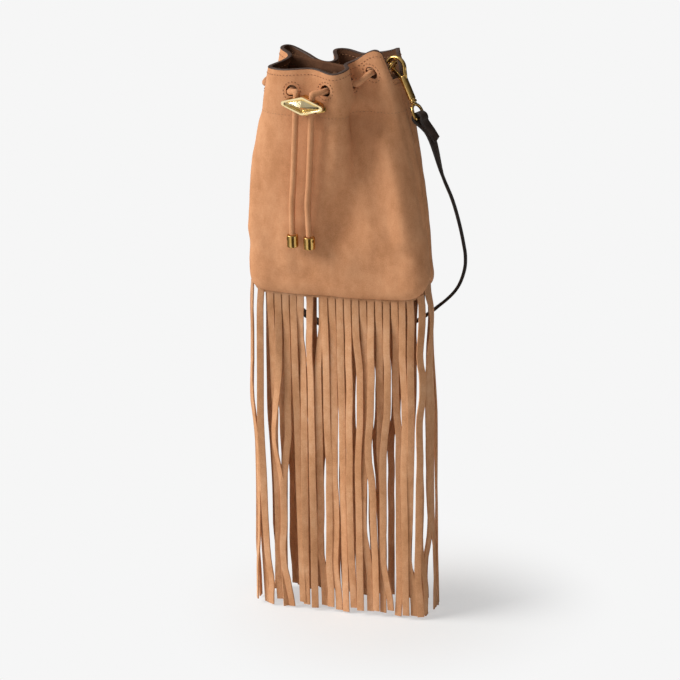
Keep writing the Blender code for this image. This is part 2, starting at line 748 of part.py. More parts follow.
def tab_outline(side, bar):
    """Folded leather tab seen from the side: a head round the bar, a strip on the wall."""
    inside = side == "right"
    away = -1 if inside else 1
    inset = SKIN + FACING_GAP + FACING + TAB_GAP if inside else -TAB_GAP
    wall = wall_frame(side)

    def face(height):
        z = wall.translation.z + bar.z + height
        point = WALL.point(CLIP_PLACES[side], WALL.share(CLIP_PLACES[side], z), inset)
        return (wall.inverted() @ point).x - bar.x

    arc = [(TAB_HEAD * cos(a), -away * TAB_HEAD * sin(a)) for a in
           (radians(d) for d in range(0, 181, 30))]
    heights = [away * TAB_LENGTH * s for s in (1, 0.65, 0.3)]
    strip = [(face(h), h) for h in heights]
    back = [(x + away * 2 * TAB_LEATHER, h) for x, h in strip][::-1]
    return arc + (back + strip[:2] if inside else strip[::-1] + back[::-1][:2])


# Strap route behind the bag between the two loops (points in millimetres)
STRAP_RIGHT = [
    (79, 11, -46), (86.4, 12, -77), (93.6, 15.5, -98.3), (98.2, 19.5, -119.8),
    (100.8, 22.6, -138), (101.6, 24.6, -149), (99.8, 27.6, -162), (92.2, 31.6, -179.6),
    (77, 35.2, -196),
]
STRAP_BEHIND = [(45, 40, -219), (0, 43, -231), (-42, 44, -221)]
STRAP_LEFT = [
    (-68, 44.5, -198), (-80, 45, -168), (-82, 45.4, -136), (-79, 46, -108), (-74, 47, -78),
]


def strap_loop(side):
    """Teardrop of the strap round the eye's bar, as world points from the folded end."""
    bar = clip_frame(side) @ Vector((0, 0, -BARREL_LENGTH - EYE_DROP))
    seam = wall_frame(side).to_3x3()
    out, up = seam @ Vector((1, 0, 0)), Vector((0, 0, 1))
    arc = [radians(a) for a in range(-20, 201, 22)]
    loop = [bar + (out * cos(a) + up * sin(a)) * LOOP_RADIUS for a in arc]
    return bar, out, loop


def strap():
    """One strap with a loop at each end, its folded end lying on its outer face."""
    path = []
    turn = {side: wall_frame(side).to_3x3() @ Vector((0, 1, 0)) for side in CLIP_PLACES}
    bar, out, loop = strap_loop("right")
    fold = STRAP_THICK + GAP
    along = (Vector(STRAP_RIGHT[0]) * MM - bar).normalized()
    across = (out - along * out.dot(along)).normalized()
    neck = bar + along * LOOP_NECK
    path += [neck + along * LOOP_FLAP + across * fold, neck + across * fold]
    path += loop
    path += [neck]
    path += [Vector(p) * MM for p in STRAP_RIGHT[1:] + STRAP_BEHIND + STRAP_LEFT[:-1]]
    bar, out, loop = strap_loop("left")
    along = (Vector(STRAP_LEFT[-1]) * MM - bar).normalized()
    across = (out - along * out.dot(along)).normalized()
    neck = bar + along * LOOP_NECK
    path += [neck]
    path += loop[::-1]
    path += [neck + across * fold, neck + along * LOOP_FLAP + across * fold]
    path = round_path(path, False, 2)
    points = []
    count = len(path)
    for i, here in enumerate(path):
        tangent = (path[min(i + 1, count - 1)] - path[max(i - 1, 0)]).normalized()
        side = "right" if i < count / 2 else "left"
        share = min(max((here.z - STRAP_TURNED_Z) / (STRAP_TURN_Z - STRAP_TURNED_Z), 0), 1)
        wide = Vector((0, 1, 0)).lerp(turn[side] * (1 if turn[side].y > 0 else -1), share)
        wide = (wide - tangent * wide.dot(tangent)).normalized()
        thick = tangent.cross(wide)
        for a, b in ((1, 1), (-1, 1), (-1, -1), (1, -1)):
            points.append(here + wide * a * STRAP_WIDTH / 2 + thick * b * STRAP_THICK / 2)
    add_object("strap", points, rings_to_faces(count, 4, False), STRAP_LEATHER)


def build():
    clear_scene()
    body_walls()
    fringe("fringe_front", 0)
    fringe("fringe_back", 0.5)
    slider()
    drawstring()
    end_caps()
    for side in CLIP_PLACES:
        clip(side)
        swivel_eye(side)
        strap_ring(side)
    strap()


build()
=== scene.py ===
# %% [markdown]
# # A fringed suede drawstring bag
# The real thing is a soft bucket bag of suede. A cord gathers its mouth, a gold slider
# rides on the cord's tails, a long cut fringe hangs from the base seam, and a narrow
# leather strap is clipped to a ring at each side. The measured solids come from the
# frame, and every cell below dresses one of them, so nothing here has to be fitted.

import json
from math import cos, pi, radians, sin

import bmesh
import bpy
import numpy as np
from mathutils import Matrix, Vector, noise


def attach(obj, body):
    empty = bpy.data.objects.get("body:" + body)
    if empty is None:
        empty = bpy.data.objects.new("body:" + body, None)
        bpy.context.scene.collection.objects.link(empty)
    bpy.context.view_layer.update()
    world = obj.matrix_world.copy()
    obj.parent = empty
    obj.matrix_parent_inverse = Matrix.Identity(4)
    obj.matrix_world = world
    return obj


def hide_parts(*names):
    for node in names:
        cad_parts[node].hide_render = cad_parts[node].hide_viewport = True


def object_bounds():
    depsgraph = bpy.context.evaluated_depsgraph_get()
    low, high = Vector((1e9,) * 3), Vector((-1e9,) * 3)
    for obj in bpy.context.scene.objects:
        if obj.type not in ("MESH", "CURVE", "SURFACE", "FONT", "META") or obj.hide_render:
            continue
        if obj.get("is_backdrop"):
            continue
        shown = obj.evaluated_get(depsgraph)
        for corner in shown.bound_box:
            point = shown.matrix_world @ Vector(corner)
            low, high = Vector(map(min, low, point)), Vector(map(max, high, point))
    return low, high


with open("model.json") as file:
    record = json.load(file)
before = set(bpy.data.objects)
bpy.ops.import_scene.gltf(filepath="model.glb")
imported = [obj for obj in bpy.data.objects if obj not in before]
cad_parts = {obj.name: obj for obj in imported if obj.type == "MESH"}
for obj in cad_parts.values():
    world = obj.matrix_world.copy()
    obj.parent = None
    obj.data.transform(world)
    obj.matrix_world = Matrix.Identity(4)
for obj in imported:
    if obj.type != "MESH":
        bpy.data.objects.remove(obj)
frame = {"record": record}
CAD_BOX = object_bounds()
MM = 0.001
HOME = {node: body for body, nodes in frame["record"]["behaviour"]["bodies"].items()
        for node in nodes}

# %% [markdown]
# ## Camera
# A long lens from above and to the right gives the picture's flat, quiet view. The eye's
# place was solved from edges of the bag whose real places are known. A function that
# turns a point into a pixel comes with it, because the fringe is spread later on by gaps given in
# pixels.

# %% Place the camera
VIEW_TURN = radians(18.6)
VIEW_PITCH = radians(18)
VIEW_ROLL = radians(-1.48)
VIEW_DISTANCE = 2.4
VIEW_HEIGHT = -0.2232
VIEW_ASIDE = 0.0028
FOCAL_PIXELS = 2823
PICTURE_PIXELS = 680
SENSOR = 36

level = Vector((cos(VIEW_TURN), sin(VIEW_TURN), 0))
aim = Vector((-sin(VIEW_TURN) * cos(VIEW_PITCH), cos(VIEW_TURN) * cos(VIEW_PITCH),
              -sin(VIEW_PITCH)))
rise = level.cross(aim)
picture_x = level * cos(VIEW_ROLL) + rise * sin(VIEW_ROLL)
picture_y = rise * cos(VIEW_ROLL) - level * sin(VIEW_ROLL)
eye = Vector((0, 0, VIEW_HEIGHT)) - level * VIEW_ASIDE - aim * VIEW_DISTANCE

lens = bpy.data.cameras.new("picture_view")
lens.sensor_width = SENSOR
lens.lens = FOCAL_PIXELS / PICTURE_PIXELS * SENSOR
camera = bpy.data.objects.new("picture_view", lens)
turn = Matrix((picture_x, picture_y, -aim)).transposed().to_4x4()
camera.matrix_world = Matrix.Translation(eye) @ turn
bpy.context.collection.objects.link(camera)
bpy.context.scene.camera = camera


def pixel_of(points):
    """Picture x and y, and the distance, of an array of points."""
    away = np.asarray(points) - np.array(eye)
    depth = away @ np.array(aim)
    x = PICTURE_PIXELS / 2 + FOCAL_PIXELS * (away @ np.array(picture_x)) / depth
    y = PICTURE_PIXELS / 2 - FOCAL_PIXELS * (away @ np.array(picture_y)) / depth
    return x, y, depth


mouth_x, mouth_y, _ = pixel_of([(0, 0, 0)])
print("the middle of the mouth is seen at pixel", round(mouth_x[0], 1), round(mouth_y[0], 1))

# %% [markdown]
# ## The wall as one smooth surface
# Everything soft hangs on one surface: the rim line as drawn, the base
# outline, and a smooth mix of the two in between. Both outlines are turned into sums of
# waves, because the small waves can then fade faster than the large ones: tight gathers
# at the mouth open into broad folds lower down, as real leather does. A place on the wall
# is a share of the way round, from the left seam and then along the front, and a height.

# %% Sizes of the wall
BASE_Z = -174 * MM
TIP_Z = -464 * MM
FACING_LOW_Z = -22 * MM
BASE_WIDTH = 160 * MM
BASE_DEPTH = 46 * MM
BASE_CORNER = 16 * MM
SKIN = 1.6 * MM
FACING = 1.2 * MM
LINING = 0.8 * MM
GAP = 0.3 * MM
FACING_GAP = 0.5 * MM
HEM = SKIN + FACING_GAP
RIM_FRONT = [  # x, y and height in mm, from the left seam to the right one
    (-43.6, 5, 19), (-47.4, -2, 16.5), (-54, -8.6, 15), (-53.4, -17.5, 14.7),
    (-44.6, -27, 15.2), (-30.5, -31, 16), (-20.5, -30.3, 17.1), (-9.9, -30.2, 17.6),
    (0.5, -34.5, 15.8), (8.6, -37.2, 15.2), (15.4, -34, 15.7), (18.2, -26, 17.2),
    (16.4, -16.5, 17.9), (12.6, -7, 17.3), (13.2, 0, 18), (19.6, 1.4, 21.8),
    (27, 0.2, 25), (35, 0.4, 29.5), (40.4, 2.6, 24), (42.9, 7, 20), (43, 13, 20),
]
RIM_BACK = [  # and on round the back to the left seam
    (43, 13, 20), (44, 17.8, 21.5), (47.8, 21.6, 24.5), (47.2, 27, 25), (40.5, 30.6, 23.5),
    (28.4, 33.4, 20), (13.4, 37.6, 17.5), (3.4, 39.6, 18.5), (-7, 39.4, 20.4),
    (-13.2, 36, 19.9), (-13.6, 30.4, 18.5), (-9.6, 25.2, 16.6), (-7.6, 20.6, 14.6),
    (-12.4, 18.8, 13.1), (-23.2, 22.6, 14.2), (-33, 28, 17), (-42, 32.4, 19.7),
    (-50, 34.6, 21.8), (-55.4, 32.6, 22.9), (-57.4, 26.6, 22.5), (-54.4, 19.6, 21.7),
    (-48.6, 13, 20.6), (-43.6, 5, 19),
]
FULLNESS = 0.08
FULL_LEVEL = 1.6  # 1 puts the fullest level midway, and more moves it up
CLIP_PLACES = {"right": 0.5, "left": 0.905}
CLIP_Z = 6.3 * MM
DIP_Z = 4.1 * MM
DIP_FLAT = 7.5 * MM
DIP_END = 13 * MM
RIM_LENGTH = 348 * MM
WALL_LENGTH = 366 * MM
HOLE_RADIUS = 5 * MM
HOLE_PLACES = {  # place, and height in mm
    "L1": (0.164, -1), "R1": (0.247, 1), "R2": (0.362, 3), "R3": (0.424, 10),
    "R4": (0.728, 2), "L4": (0.806, 2), "L3": (0.966, 1), "L2": (0.046, -1),
}
print("the mouth is drawn with", len(RIM_FRONT) + len(RIM_BACK), "points and has",
      len(HOLE_PLACES), "holes")

# %% [markdown]
# ## From drawn points to smooth outlines
# A rim is given as a few points, and a curve then has to run through them. The
# curve's spacing follows the root of each step's length, which keeps short steps from
# making loops. Both outlines end up with the same number of points, evenly spread.

# %% Smooth outlines of rim and base
SAMPLES = 256
CORNER_STEPS = 12


def round_path(points, closed, per_span):
    """Points along a smooth curve through the given points (centripetal spacing)."""
    pts = [Vector(p) for p in points]
    count = len(pts)
    out = []
    for i in range(count if closed else count - 1):
        p1, p2 = pts[i], pts[(i + 1) % count]
        p0 = pts[i - 1] if i or closed else p1 * 2 - p2
        p3 = pts[(i + 2) % count] if i < count - 2 or closed else p2 * 2 - p1
        d0, d1, d2 = ((q - p).length ** 0.5 for p, q in ((p0, p1), (p1, p2), (p2, p3)))
        pull1 = (p1 - p0) * (d1 / d0) - (p2 - p0) * (d1 / (d0 + d1)) + (p2 - p1)
        pull2 = (p2 - p1) - (p3 - p1) * (d1 / (d1 + d2)) + (p3 - p2) * (d1 / d2)
        for s in range(per_span):
            t = s / per_span
            out.append(p1 * (2 * t ** 3 - 3 * t * t + 1) + pull1 * (t ** 3 - 2 * t * t + t)
                       + p2 * (3 * t * t - 2 * t ** 3) + pull2 * (t ** 3 - t * t))
    if not closed:
        out.append(pts[-1])
    return out


def even_run(points, count):
    """Resample an open given run to count points, evenly by length."""
    line = np.array([tuple(p) for p in round_path(points, False, 12)])
    along = np.concatenate([[0], np.cumsum(np.hypot(*np.diff(line[:, :2], axis=0).T))])
    where = np.linspace(0, along[-1], count, endpoint=False)
    return np.stack([np.interp(where, along, line[:, i]) for i in range(3)], axis=1)


def base_outline(count):
    """Rounded rectangle from the middle of the left side, round the front, by length."""
    line = [(-BASE_WIDTH / 2, 0)]
    for sx, sy, start in [(-1, -1, 180), (1, -1, 270), (1, 1, 0), (-1, 1, 90)]:
        for step in range(CORNER_STEPS + 1):
            a = radians(start + 90 * step / CORNER_STEPS)
            line.append((sx * (BASE_WIDTH / 2 - BASE_CORNER) + BASE_CORNER * cos(a),
                         sy * (BASE_DEPTH / 2 - BASE_CORNER) + BASE_CORNER * sin(a)))
    line = np.array(line + [(-BASE_WIDTH / 2, 0)])
    along = np.concatenate([[0], np.cumsum(np.hypot(*np.diff(line, axis=0).T))])
    where = np.linspace(0, along[-1], count, endpoint=False)
    return np.interp(where, along, line[:, 0]) + 1j * np.interp(where, along, line[:, 1])


rim = np.vstack([even_run(RIM_FRONT, SAMPLES // 2), even_run(RIM_BACK, SAMPLES // 2)]) * MM
print("rim and base have", SAMPLES, "points each")

# %% [markdown]
# ## The wall between the two outlines
# An outline is a closed run of points, and such a run is a sum of waves. At each height
# the wall takes some of the rim's waves and some of the base's, and the finer a rim's wave
# is, the sooner it fades on the way down.

# %% The wall at any place and height
HARMONICS = 14
FADE_BROAD = 1.5   # how fast the rim's broadest wave fades on the way down
FADE_FINER = 0.22  # and how much faster each finer one does
BASE_FADE = 1.3


def waves(values):
    """The values as sizes of waves, finest backward wave first."""
    return (np.fft.fft(values) / SAMPLES)[WAVES]


def smooth(share):
    """The same shares of 0 to 1, with a soft start and a soft end."""
    return share * share * (3 - 2 * share)


WAVES = np.arange(-HARMONICS, HARMONICS + 1)
RIM_WAVES = waves(rim[:, 0] + 1j * rim[:, 1])
HEIGHT_WAVES = waves(rim[:, 2])
BASE_WAVES = waves(base_outline(SAMPLES))
ORDER = np.maximum(np.abs(WAVES) - 1, 0)
FADE = FADE_BROAD + FADE_FINER * ORDER


def rim_height(u):
    """Height of the rim as drawn."""
    turns = np.exp(2j * pi * np.asarray(u)[..., None] * WAVES)
    return np.real((HEIGHT_WAVES * turns).sum(-1))


def rim_top(u):
    """Height of the leather's edge: the rim, with its dip under the right clip."""
    full = rim_height(u)
    away = np.abs(np.asarray(u) - CLIP_PLACES["right"]) * RIM_LENGTH
    near = np.clip((DIP_END - away) / (DIP_END - DIP_FLAT), 0, 1)
    return full - (full - DIP_Z) * smooth(near)


def plan(u, z):
    """Outline point and outward direction, as complex numbers, at place u and height z."""
    u, z = np.broadcast_arrays(np.asarray(u, float), np.asarray(z, float))
    v = np.clip((z - BASE_Z) / (rim_height(u) - BASE_Z), 0, 1)[..., None]
    up = v ** FADE
    rest = np.where(ORDER > 0, (1 - v) ** BASE_FADE, 1 - up)
    full = 1 + FULLNESS * np.sin(pi * v ** FULL_LEVEL)
    mix = (BASE_WAVES * rest + RIM_WAVES * up) * np.exp(2j * pi * WAVES * u[..., None]) * full
    out = -1j * (2j * pi * WAVES * mix).sum(-1)
    return mix.sum(-1), out / np.abs(out)


def wall_rate(u, z, step=0.002):
    """Metres along the wall for a whole turn of place, measured at one spot."""
    return abs(plan(u + step, z)[0] - plan(u - step, z)[0]) / (2 * step)


def wall_frame_at(u, z):
    """Matrix with X outward, Z up, placed on the wall's outer face."""
    at, out = plan(u, z)
    outward = Vector((float(out.real), float(out.imag), 0))
    along = Vector((0, 0, 1)).cross(outward)
    turned_to = Matrix((outward, along, (0, 0, 1))).transposed().to_4x4()
    return Matrix.Translation((float(at.real), float(at.imag), z)) @ turned_to


heights = rim_height(np.linspace(0, 1, 90)) / MM
print("rim height from", round(heights.min(), 1), "to", round(heights.max(), 1), "mm")

# %% [markdown]
# ## Folds that the hand leaves in the suede
# On top of the smooth wall lie a few folds that are read from the picture: a ridge at
# the front left, a valley that runs down from the gathers, a full lower right corner, and
# the roll of the bottom edge. Each is a soft hump or groove along a short line, and a
# little slow noise keeps the leather from looking pressed. Where the slider lies and
# slides, the suede is held in, so that no fold stands in the slider's way.

# %% Folds and edges of the wall
FOLDS = [  # height in mm, half width in mm, line of (place, height in mm)
    (1.7, 9, [(0.100, -16), (0.110, -24), (0.133, -48), (0.150, -86), (0.150, -150)]),
    (-10.0, 18, [(0.352, -26), (0.325, -66), (0.272, -114)]),
    (3.0, 10, [(0.045, -34), (0.042, -80), (0.050, -122)]),
    (1.6, 15, [(0.262, -40), (0.238, -76), (0.212, -104)]),
    (-2.4, 9, [(0.357, -10), (0.352, -42), (0.362, -68), (0.357, -92), (0.362, -108)]),
    (5.0, 10, [(0.408, -44), (0.418, -92), (0.424, -124)]),
    (2.6, 13, [(0.455, -163), (0.440, -150)]),
    (1.2, 14, [(0.30, -150), (0.24, -154)]),
    (-2.2, 10, [(0.60, -20), (0.615, -60), (0.61, -100)]),
    (-2.6, 11, [(0.775, -18), (0.765, -62), (0.78, -112)]),
    (1.6, 12, [(0.69, -50), (0.70, -110)]),
    (-1.8, 9, [(0.885, -40), (0.88, -100)]),
    (-1.4, 5, [(0.465, -24), (0.47, -70), (0.48, -118)]),
]
SEAM_DEPTH = 1.1 * MM
SEAM_HALF = 1.7 * MM
ROLL_HEIGHT = 11 * MM
ROLL_DEPTH = 4.4 * MM
LIFT = 8.5 * MM
LIFT_HALF = 15 * MM
SAG = 4.8 * MM
SAG_HALF = 30 * MM
HEM_DEPTH = 0.15 * MM
HEM_HALF = 1.3 * MM
PUCKER = 1.125 * MM
PUCKER_SIZE = 24 * MM
PUCKER_TALL = 0.7   # below 1 stretches the puckers upright
FINER_SIZE = 2.7    # the second noise is so much finer
FINER_SHARE = 0.4
FINER_SHIFT = Vector((5, 1, 3))
CALM_FROM = -4 * MM  # the folds start here and are full CALM_RUN lower
CALM_RUN = 22 * MM
SEAM_RUN = 20 * MM
SLIDER_PATH = (0.152, 0.056, -64 * MM, 32 * MM)  # place, half width, height, half height
PRESSED_IN = 1.3 * MM
PRESSED_EASE = 2.2  # the pressing ends at so many half widths
print(len(FOLDS), "folds are drawn by hand")

# %% Where a place lies on the wall
def near_line(u, z, line):
    """Distance on the wall from each place to a line of (place, height in mm)."""
    best = np.full(u.shape, 1.0)
    for (u0, z0), (u1, z1) in zip(line, line[1:]):
        ax, az = ((u - u0 + 0.5) % 1 - 0.5) * WALL_LENGTH, z - z0 * MM
        bx, bz = (u1 - u0) * WALL_LENGTH, (z1 - z0) * MM
        t = np.clip((ax * bx + az * bz) / (bx * bx + bz * bz), 0, 1)
        best = np.minimum(best, np.hypot(ax - bx * t, az - bz * t))
    return best


def from_seam(u):
    """Distance along the wall to the nearer side seam."""
    return np.abs((np.asarray(u) + 0.25) % 0.5 - 0.25) * WALL_LENGTH


def bottom_z(u):
    """Height of the panels' lower edge: it sags midway and lifts to the side seams."""
    away = from_seam(u)
    sag = SAG * (1 - np.exp(-(away / SAG_HALF) ** 2))
    return BASE_Z + LIFT * np.exp(-(away / LIFT_HALF) ** 2) - sag


def pressed(u, z):
    """1 where the slider lies on the suede and slides over it, easing to 0 round that."""
    place, half, height, tall = SLIDER_PATH
    wide = np.clip(PRESSED_EASE - np.abs(u - place) / half, 0, 1)
    high = np.clip(PRESSED_EASE - np.abs(z - height) / tall, 0, 1)
    return wide * high


print("the lower edge is at", round(float(bottom_z(0)) / MM, 1), "mm at a seam and at",
      round(float(bottom_z(0.25)) / MM, 1), "mm midway")

# %% [markdown]
# ## Adding the relief up
# Everything that bends the suede is a height over the smooth wall, so it can simply be
# added: folds, puckers, seams, the hem's shallow line and the rolled lower edge.

# %% Relief of the wall
def puckers(u, z):
    """Slow noise round the wall with no seam in it, and finer noise on top."""
    a = 2 * pi * u
    radius = WALL_LENGTH / (2 * pi) / PUCKER_SIZE
    spots = np.stack([np.cos(a) * radius, np.sin(a) * radius, z / PUCKER_SIZE * PUCKER_TALL], -1)
    spots = [Vector(p) for p in spots.reshape(-1, 3)]
    slow = [noise.noise(p) for p in spots]
    fine = [noise.noise(p * FINER_SIZE + FINER_SHIFT) for p in spots]
    return (np.reshape(slow, u.shape) + FINER_SHARE * np.reshape(fine, u.shape)) * PUCKER


def relief(u, z):
    """How far the suede stands out of the smooth wall."""
    out = np.zeros(u.shape)
    for height, half, line in FOLDS:
        out += height * MM * np.exp(-(near_line(u, z, line) / (half * MM)) ** 2)
    out += puckers(u, z)
    held = pressed(u, z)
    out = out * (1 - held) + np.minimum(out, -PRESSED_IN) * held
    out *= smooth(np.clip((CALM_FROM - z) / CALM_RUN, 0, 1))
    seam = np.exp(-(from_seam(u) / SEAM_HALF) ** 2) * np.clip(-z / SEAM_RUN, 0, 1)
    out -= SEAM_DEPTH * seam
    out -= HEM_DEPTH * np.exp(-((z - FACING_LOW_Z) / HEM_HALF) ** 2)
    low = np.clip(1 - (z - bottom_z(u)) / ROLL_HEIGHT, 0, 1)
    return out - ROLL_DEPTH * (1 - np.sqrt(1 - low ** 2 * 0.96))


def wall_points(u, z, inset):
    """Points of the wall with its relief, an array as large as u and z."""
    at, out = plan(u, z)
    at = at - out * (inset - relief(u, z))
    return np.stack([at.real, at.imag, np.broadcast_to(z, at.shape)], -1)


place, _, height, _ = SLIDER_PATH
under = relief(np.array([place]), np.array([height]))[0]
print("under the slider the suede lies", round(-under / MM, 1), "mm in")

# %% [markdown]
# ## Making meshes
# Leather is a sheet, so most soft pieces are a grid of points and the same grid a
# thickness further in, joined along every open edge. That gives closed shells whose
# faces all look outward, and a hole in the grid becomes a clean punched hole.

# %% Helpers for meshes
def new_object(name, mesh, look=None, angle=40):
    """An object in the scene; edges sharper than the angle stay sharp."""
    mesh.name = name
    mesh.shade_smooth()
    mesh.set_sharp_from_angle(angle=radians(angle))
    if look:
        mesh.materials.clear()
        mesh.materials.append(look)
    made = bpy.data.objects.new(name, mesh)
    bpy.context.collection.objects.link(made)
    return made


def mesh_of(points, faces):
    """A mesh from points and faces."""
    mesh = bpy.data.meshes.new("mesh")
    mesh.from_pydata(np.asarray(points).reshape(-1, 3).tolist(), [], faces)
    return mesh


def thicken(outer, inner, faces):
    """Closed shell: faces on the outer points, the same turned round on the inner ones."""
    count = len(outer)
    edges = {(f[k], f[(k + 1) % len(f)]) for f in faces for k in range(len(f))}
    shell = list(faces) + [tuple(v + count for v in f[::-1]) for f in faces]
    shell += [(b, a, a + count, b + count) for a, b in edges if (b, a) not in edges]
    used = sorted({v for f in shell for v in f})
    new_index = {v: i for i, v in enumerate(used)}
    points = np.concatenate([outer, inner])[used]
    return mesh_of(points, [tuple(new_index[v] for v in f) for f in shell])


def plain(thing):
    """Apply an object's modifiers, so that only its finished mesh is left."""
    graph = bpy.context.evaluated_depsgraph_get()
    graph.update()
    done = bpy.data.meshes.new_from_object(thing.evaluated_get(graph))
    thing.modifiers.clear()
    thing.data = done
    return thing


def join(name, parts, look=None):
    """One object out of several closed meshes."""
    work = bmesh.new()
    for part in parts:
        part.data.transform(part.matrix_world)
        work.from_mesh(part.data)
        bpy.data.objects.remove(part, do_unlink=True)
    mesh = bpy.data.meshes.new(name)
    work.to_mesh(mesh)
    work.free()
    return new_object(name, mesh, look)


def stand_in(piece, slot, *nodes):
    """The piece rides where its nodes ride and hides them; slot is not used."""
    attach(piece, HOME[nodes[0]])
    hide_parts(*nodes)
    print(piece.name, "stands for", ", ".join(nodes), "-", len(piece.data.polygons), "faces")
    return piece


# %% [markdown]
# ## Building a material
# Each finish is a small tree of nodes. One function adds a node with its settings and
# its links, and another turns the colour that a person picks on a screen into the linear
# light that the renderer adds up.

# %% Helpers for materials
def colour(code):
    """An sRGB hex colour as linear red, green, blue and alpha."""
    parts = [int(code[i:i + 2], 16) / 255 for i in (1, 3, 5)]
    return tuple(c / 12.92 if c <= 0.04045 else ((c + 0.055) / 1.055) ** 2.4
                 for c in parts) + (1.0,)


def add(tree, kind, inputs=None, stops=(), **settings):
    """Add a node; an input is a value or an output socket, a stop is (place, hex colour)."""
    made = tree.nodes.new(kind)
    for key, value in settings.items():
        setattr(made, key, value)
    for key, value in (inputs or {}).items():
        if isinstance(value, bpy.types.NodeSocket):
            tree.links.new(value, made.inputs[key])
        else:
            made.inputs[key].default_value = value
    if stops:
        bar = made.color_ramp.elements
        while len(bar) < len(stops):
            bar.new(0.5)
        for element, (place, code) in zip(bar, stops):
            element.position = place
            element.color = colour(code)
    return made


def blank(name):
    """A new material with only its surface shader; returns material, tree and shader."""
    made = bpy.data.materials.new(name)
    made.use_nodes = True
    tree = made.node_tree
    return made, tree, tree.nodes["Principled BSDF"]


def at_size(tree, size, detail=2.0, roughness=0.5, stretch=(1, 1, 1), place=(0, 0, 0)):
    """Noise whose patches are about size metres wide, in the object's own space."""
    spot = add(tree, "ShaderNodeTexCoord").outputs["Object"]
    spot = add(tree, "ShaderNodeMapping", {"Vector": spot, "Scale": stretch,
                                           "Location": place}).outputs["Vector"]
    return add(tree, "ShaderNodeTexNoise", {"Vector": spot, "Scale": 1 / size, "Detail": detail,
                                            "Roughness": roughness}).outputs["Fac"]


def blend_of(tree, parts):
    """Weighted sum of several values: [(output, weight), ...]."""
    total = None
    for output, weight in parts:
        part = add(tree, "ShaderNodeMath", {0: output, 1: weight},
                   operation="MULTIPLY").outputs[0]
        total = part if total is None else add(tree, "ShaderNodeMath", {0: total, 1: part},
                                               operation="ADD").outputs[0]
    return total


def surface(tree, shader, paint, rough, height, spread=(0, 1)):
    """Link (value, stops), (value, low, high) and (value, distance, strength) to a shader."""
    value, stops = paint
    paint = add(tree, "ShaderNodeValToRGB", {"Fac": value}, stops=stops)
    tree.links.new(paint.outputs["Color"], shader.inputs["Base Color"])
    value, low, high = rough
    rough = add(tree, "ShaderNodeMapRange", {"Value": value, "From Min": spread[0],
                                             "From Max": spread[1], "To Min": low, "To Max": high})
    tree.links.new(rough.outputs[0], shader.inputs["Roughness"])
    value, distance, strength = height
    raised = add(tree, "ShaderNodeBump", {"Height": value, "Distance": distance,
                                          "Strength": strength})
    tree.links.new(raised.outputs["Normal"], shader.inputs["Normal"])


print("a mid grey of #808080 is", round(colour("#808080")[0], 3), "in linear light")

# %% [markdown]
# ## Suede
# Suede is the flesh side of a split hide, buffed until its fibres stand up as a nap. It
# has no gloss, its edges glow a little where light grazes the fibres, and every stroke of
# a hand leaves a lighter or darker patch. So three sizes of noise are mixed: hand-sized
# clouds, brushed patches and the grain of the fibres, which also gives the bump.

# %% Suede in its tones
NAP_CLOUD = 34 * MM
NAP_PATCH = 7 * MM
NAP_GRAIN = 0.9 * MM  # the fibres are finer; this is as fine as the picture can show
FIBRE_RELIEF = 0.16 * MM
PATCH_RELIEF = 0.5 * MM


def suede(name, dark, middle, light, by_piece=False):
    """Buffed split hide, in three tones; by_piece scales it by the mesh's own tone and painted
    shade.
    """
    made, tree, shader = blank(name)
    cloud = at_size(tree, NAP_CLOUD, 3, 0.55)
    patch = at_size(tree, NAP_PATCH, 4, 0.6, (1, 1, 0.7), (0.3, 0.1, 0.2))
    grain = at_size(tree, NAP_GRAIN, 3, 0.7)
    value = blend_of(tree, [(cloud, 0.32), (patch, 0.32), (grain, 0.36)])
    paint = add(tree, "ShaderNodeValToRGB", {"Fac": value},
                stops=[(0.38, dark), (0.5, middle), (0.62, light)]).outputs["Color"]
    if by_piece:
        # The attribute holds each strand's random tone and, near the seam, painted shade.
        tone_and_shade = add(tree, "ShaderNodeAttribute", attribute_name="tone_and_shade").outputs["Fac"]
        paint = add(tree, "ShaderNodeVectorMath", {0: paint, "Scale": tone_and_shade},
                    operation="SCALE").outputs[0]
    tree.links.new(paint, shader.inputs["Base Color"])
    rough = add(tree, "ShaderNodeMapRange", {"Value": patch, "To Min": 0.86, "To Max": 1.0})
    tree.links.new(rough.outputs[0], shader.inputs["Roughness"])
    shader.inputs["Specular IOR Level"].default_value = 0.2
    shader.inputs["Sheen Weight"].default_value = 0.22
    shader.inputs["Sheen Roughness"].default_value = 0.55
    shader.inputs["Sheen Tint"].default_value = colour("#f0c8a0")
    nap = add(tree, "ShaderNodeBump", {"Height": grain, "Distance": FIBRE_RELIEF,
                                       "Strength": 0.7}).outputs["Normal"]
    nap = add(tree, "ShaderNodeBump", {"Height": patch, "Distance": PATCH_RELIEF,
                                       "Strength": 0.35, "Normal": nap}).outputs["Normal"]
    tree.links.new(nap, shader.inputs["Normal"])
    return made


BUFFED_SUEDE = suede("buffed_suede", "#bb8259", "#ca9067", "#d59d74")
CUT_SUEDE = suede("cut_suede_strand", "#bd865c", "#d19a70", "#dfae87", by_piece=True)
# The inner suede is a little darker than the outside, and is darkened further as painted shade for
# the inside of the mouth; the base uses it too.
INNER_SUEDE_WITH_PAINTED_SHADE = suede("inner_suede_with_painted_shade", "#4d3121", "#5f3e2a", "#714d36")
print("suede tones:", BUFFED_SUEDE.name, CUT_SUEDE.name, INNER_SUEDE_WITH_PAINTED_SHADE.name)

# %% [markdown]
# ## The drawstring
# The cord is a rolled strip of the same suede, about 5 mm thick. It leaves its left end
# cap, rises through the slider, weaves in and out of eight holes, and comes back down
# through the slider to its right end cap. It is limp and hangs, so it is one smooth curve
# through the places that the holes and the slider fix.

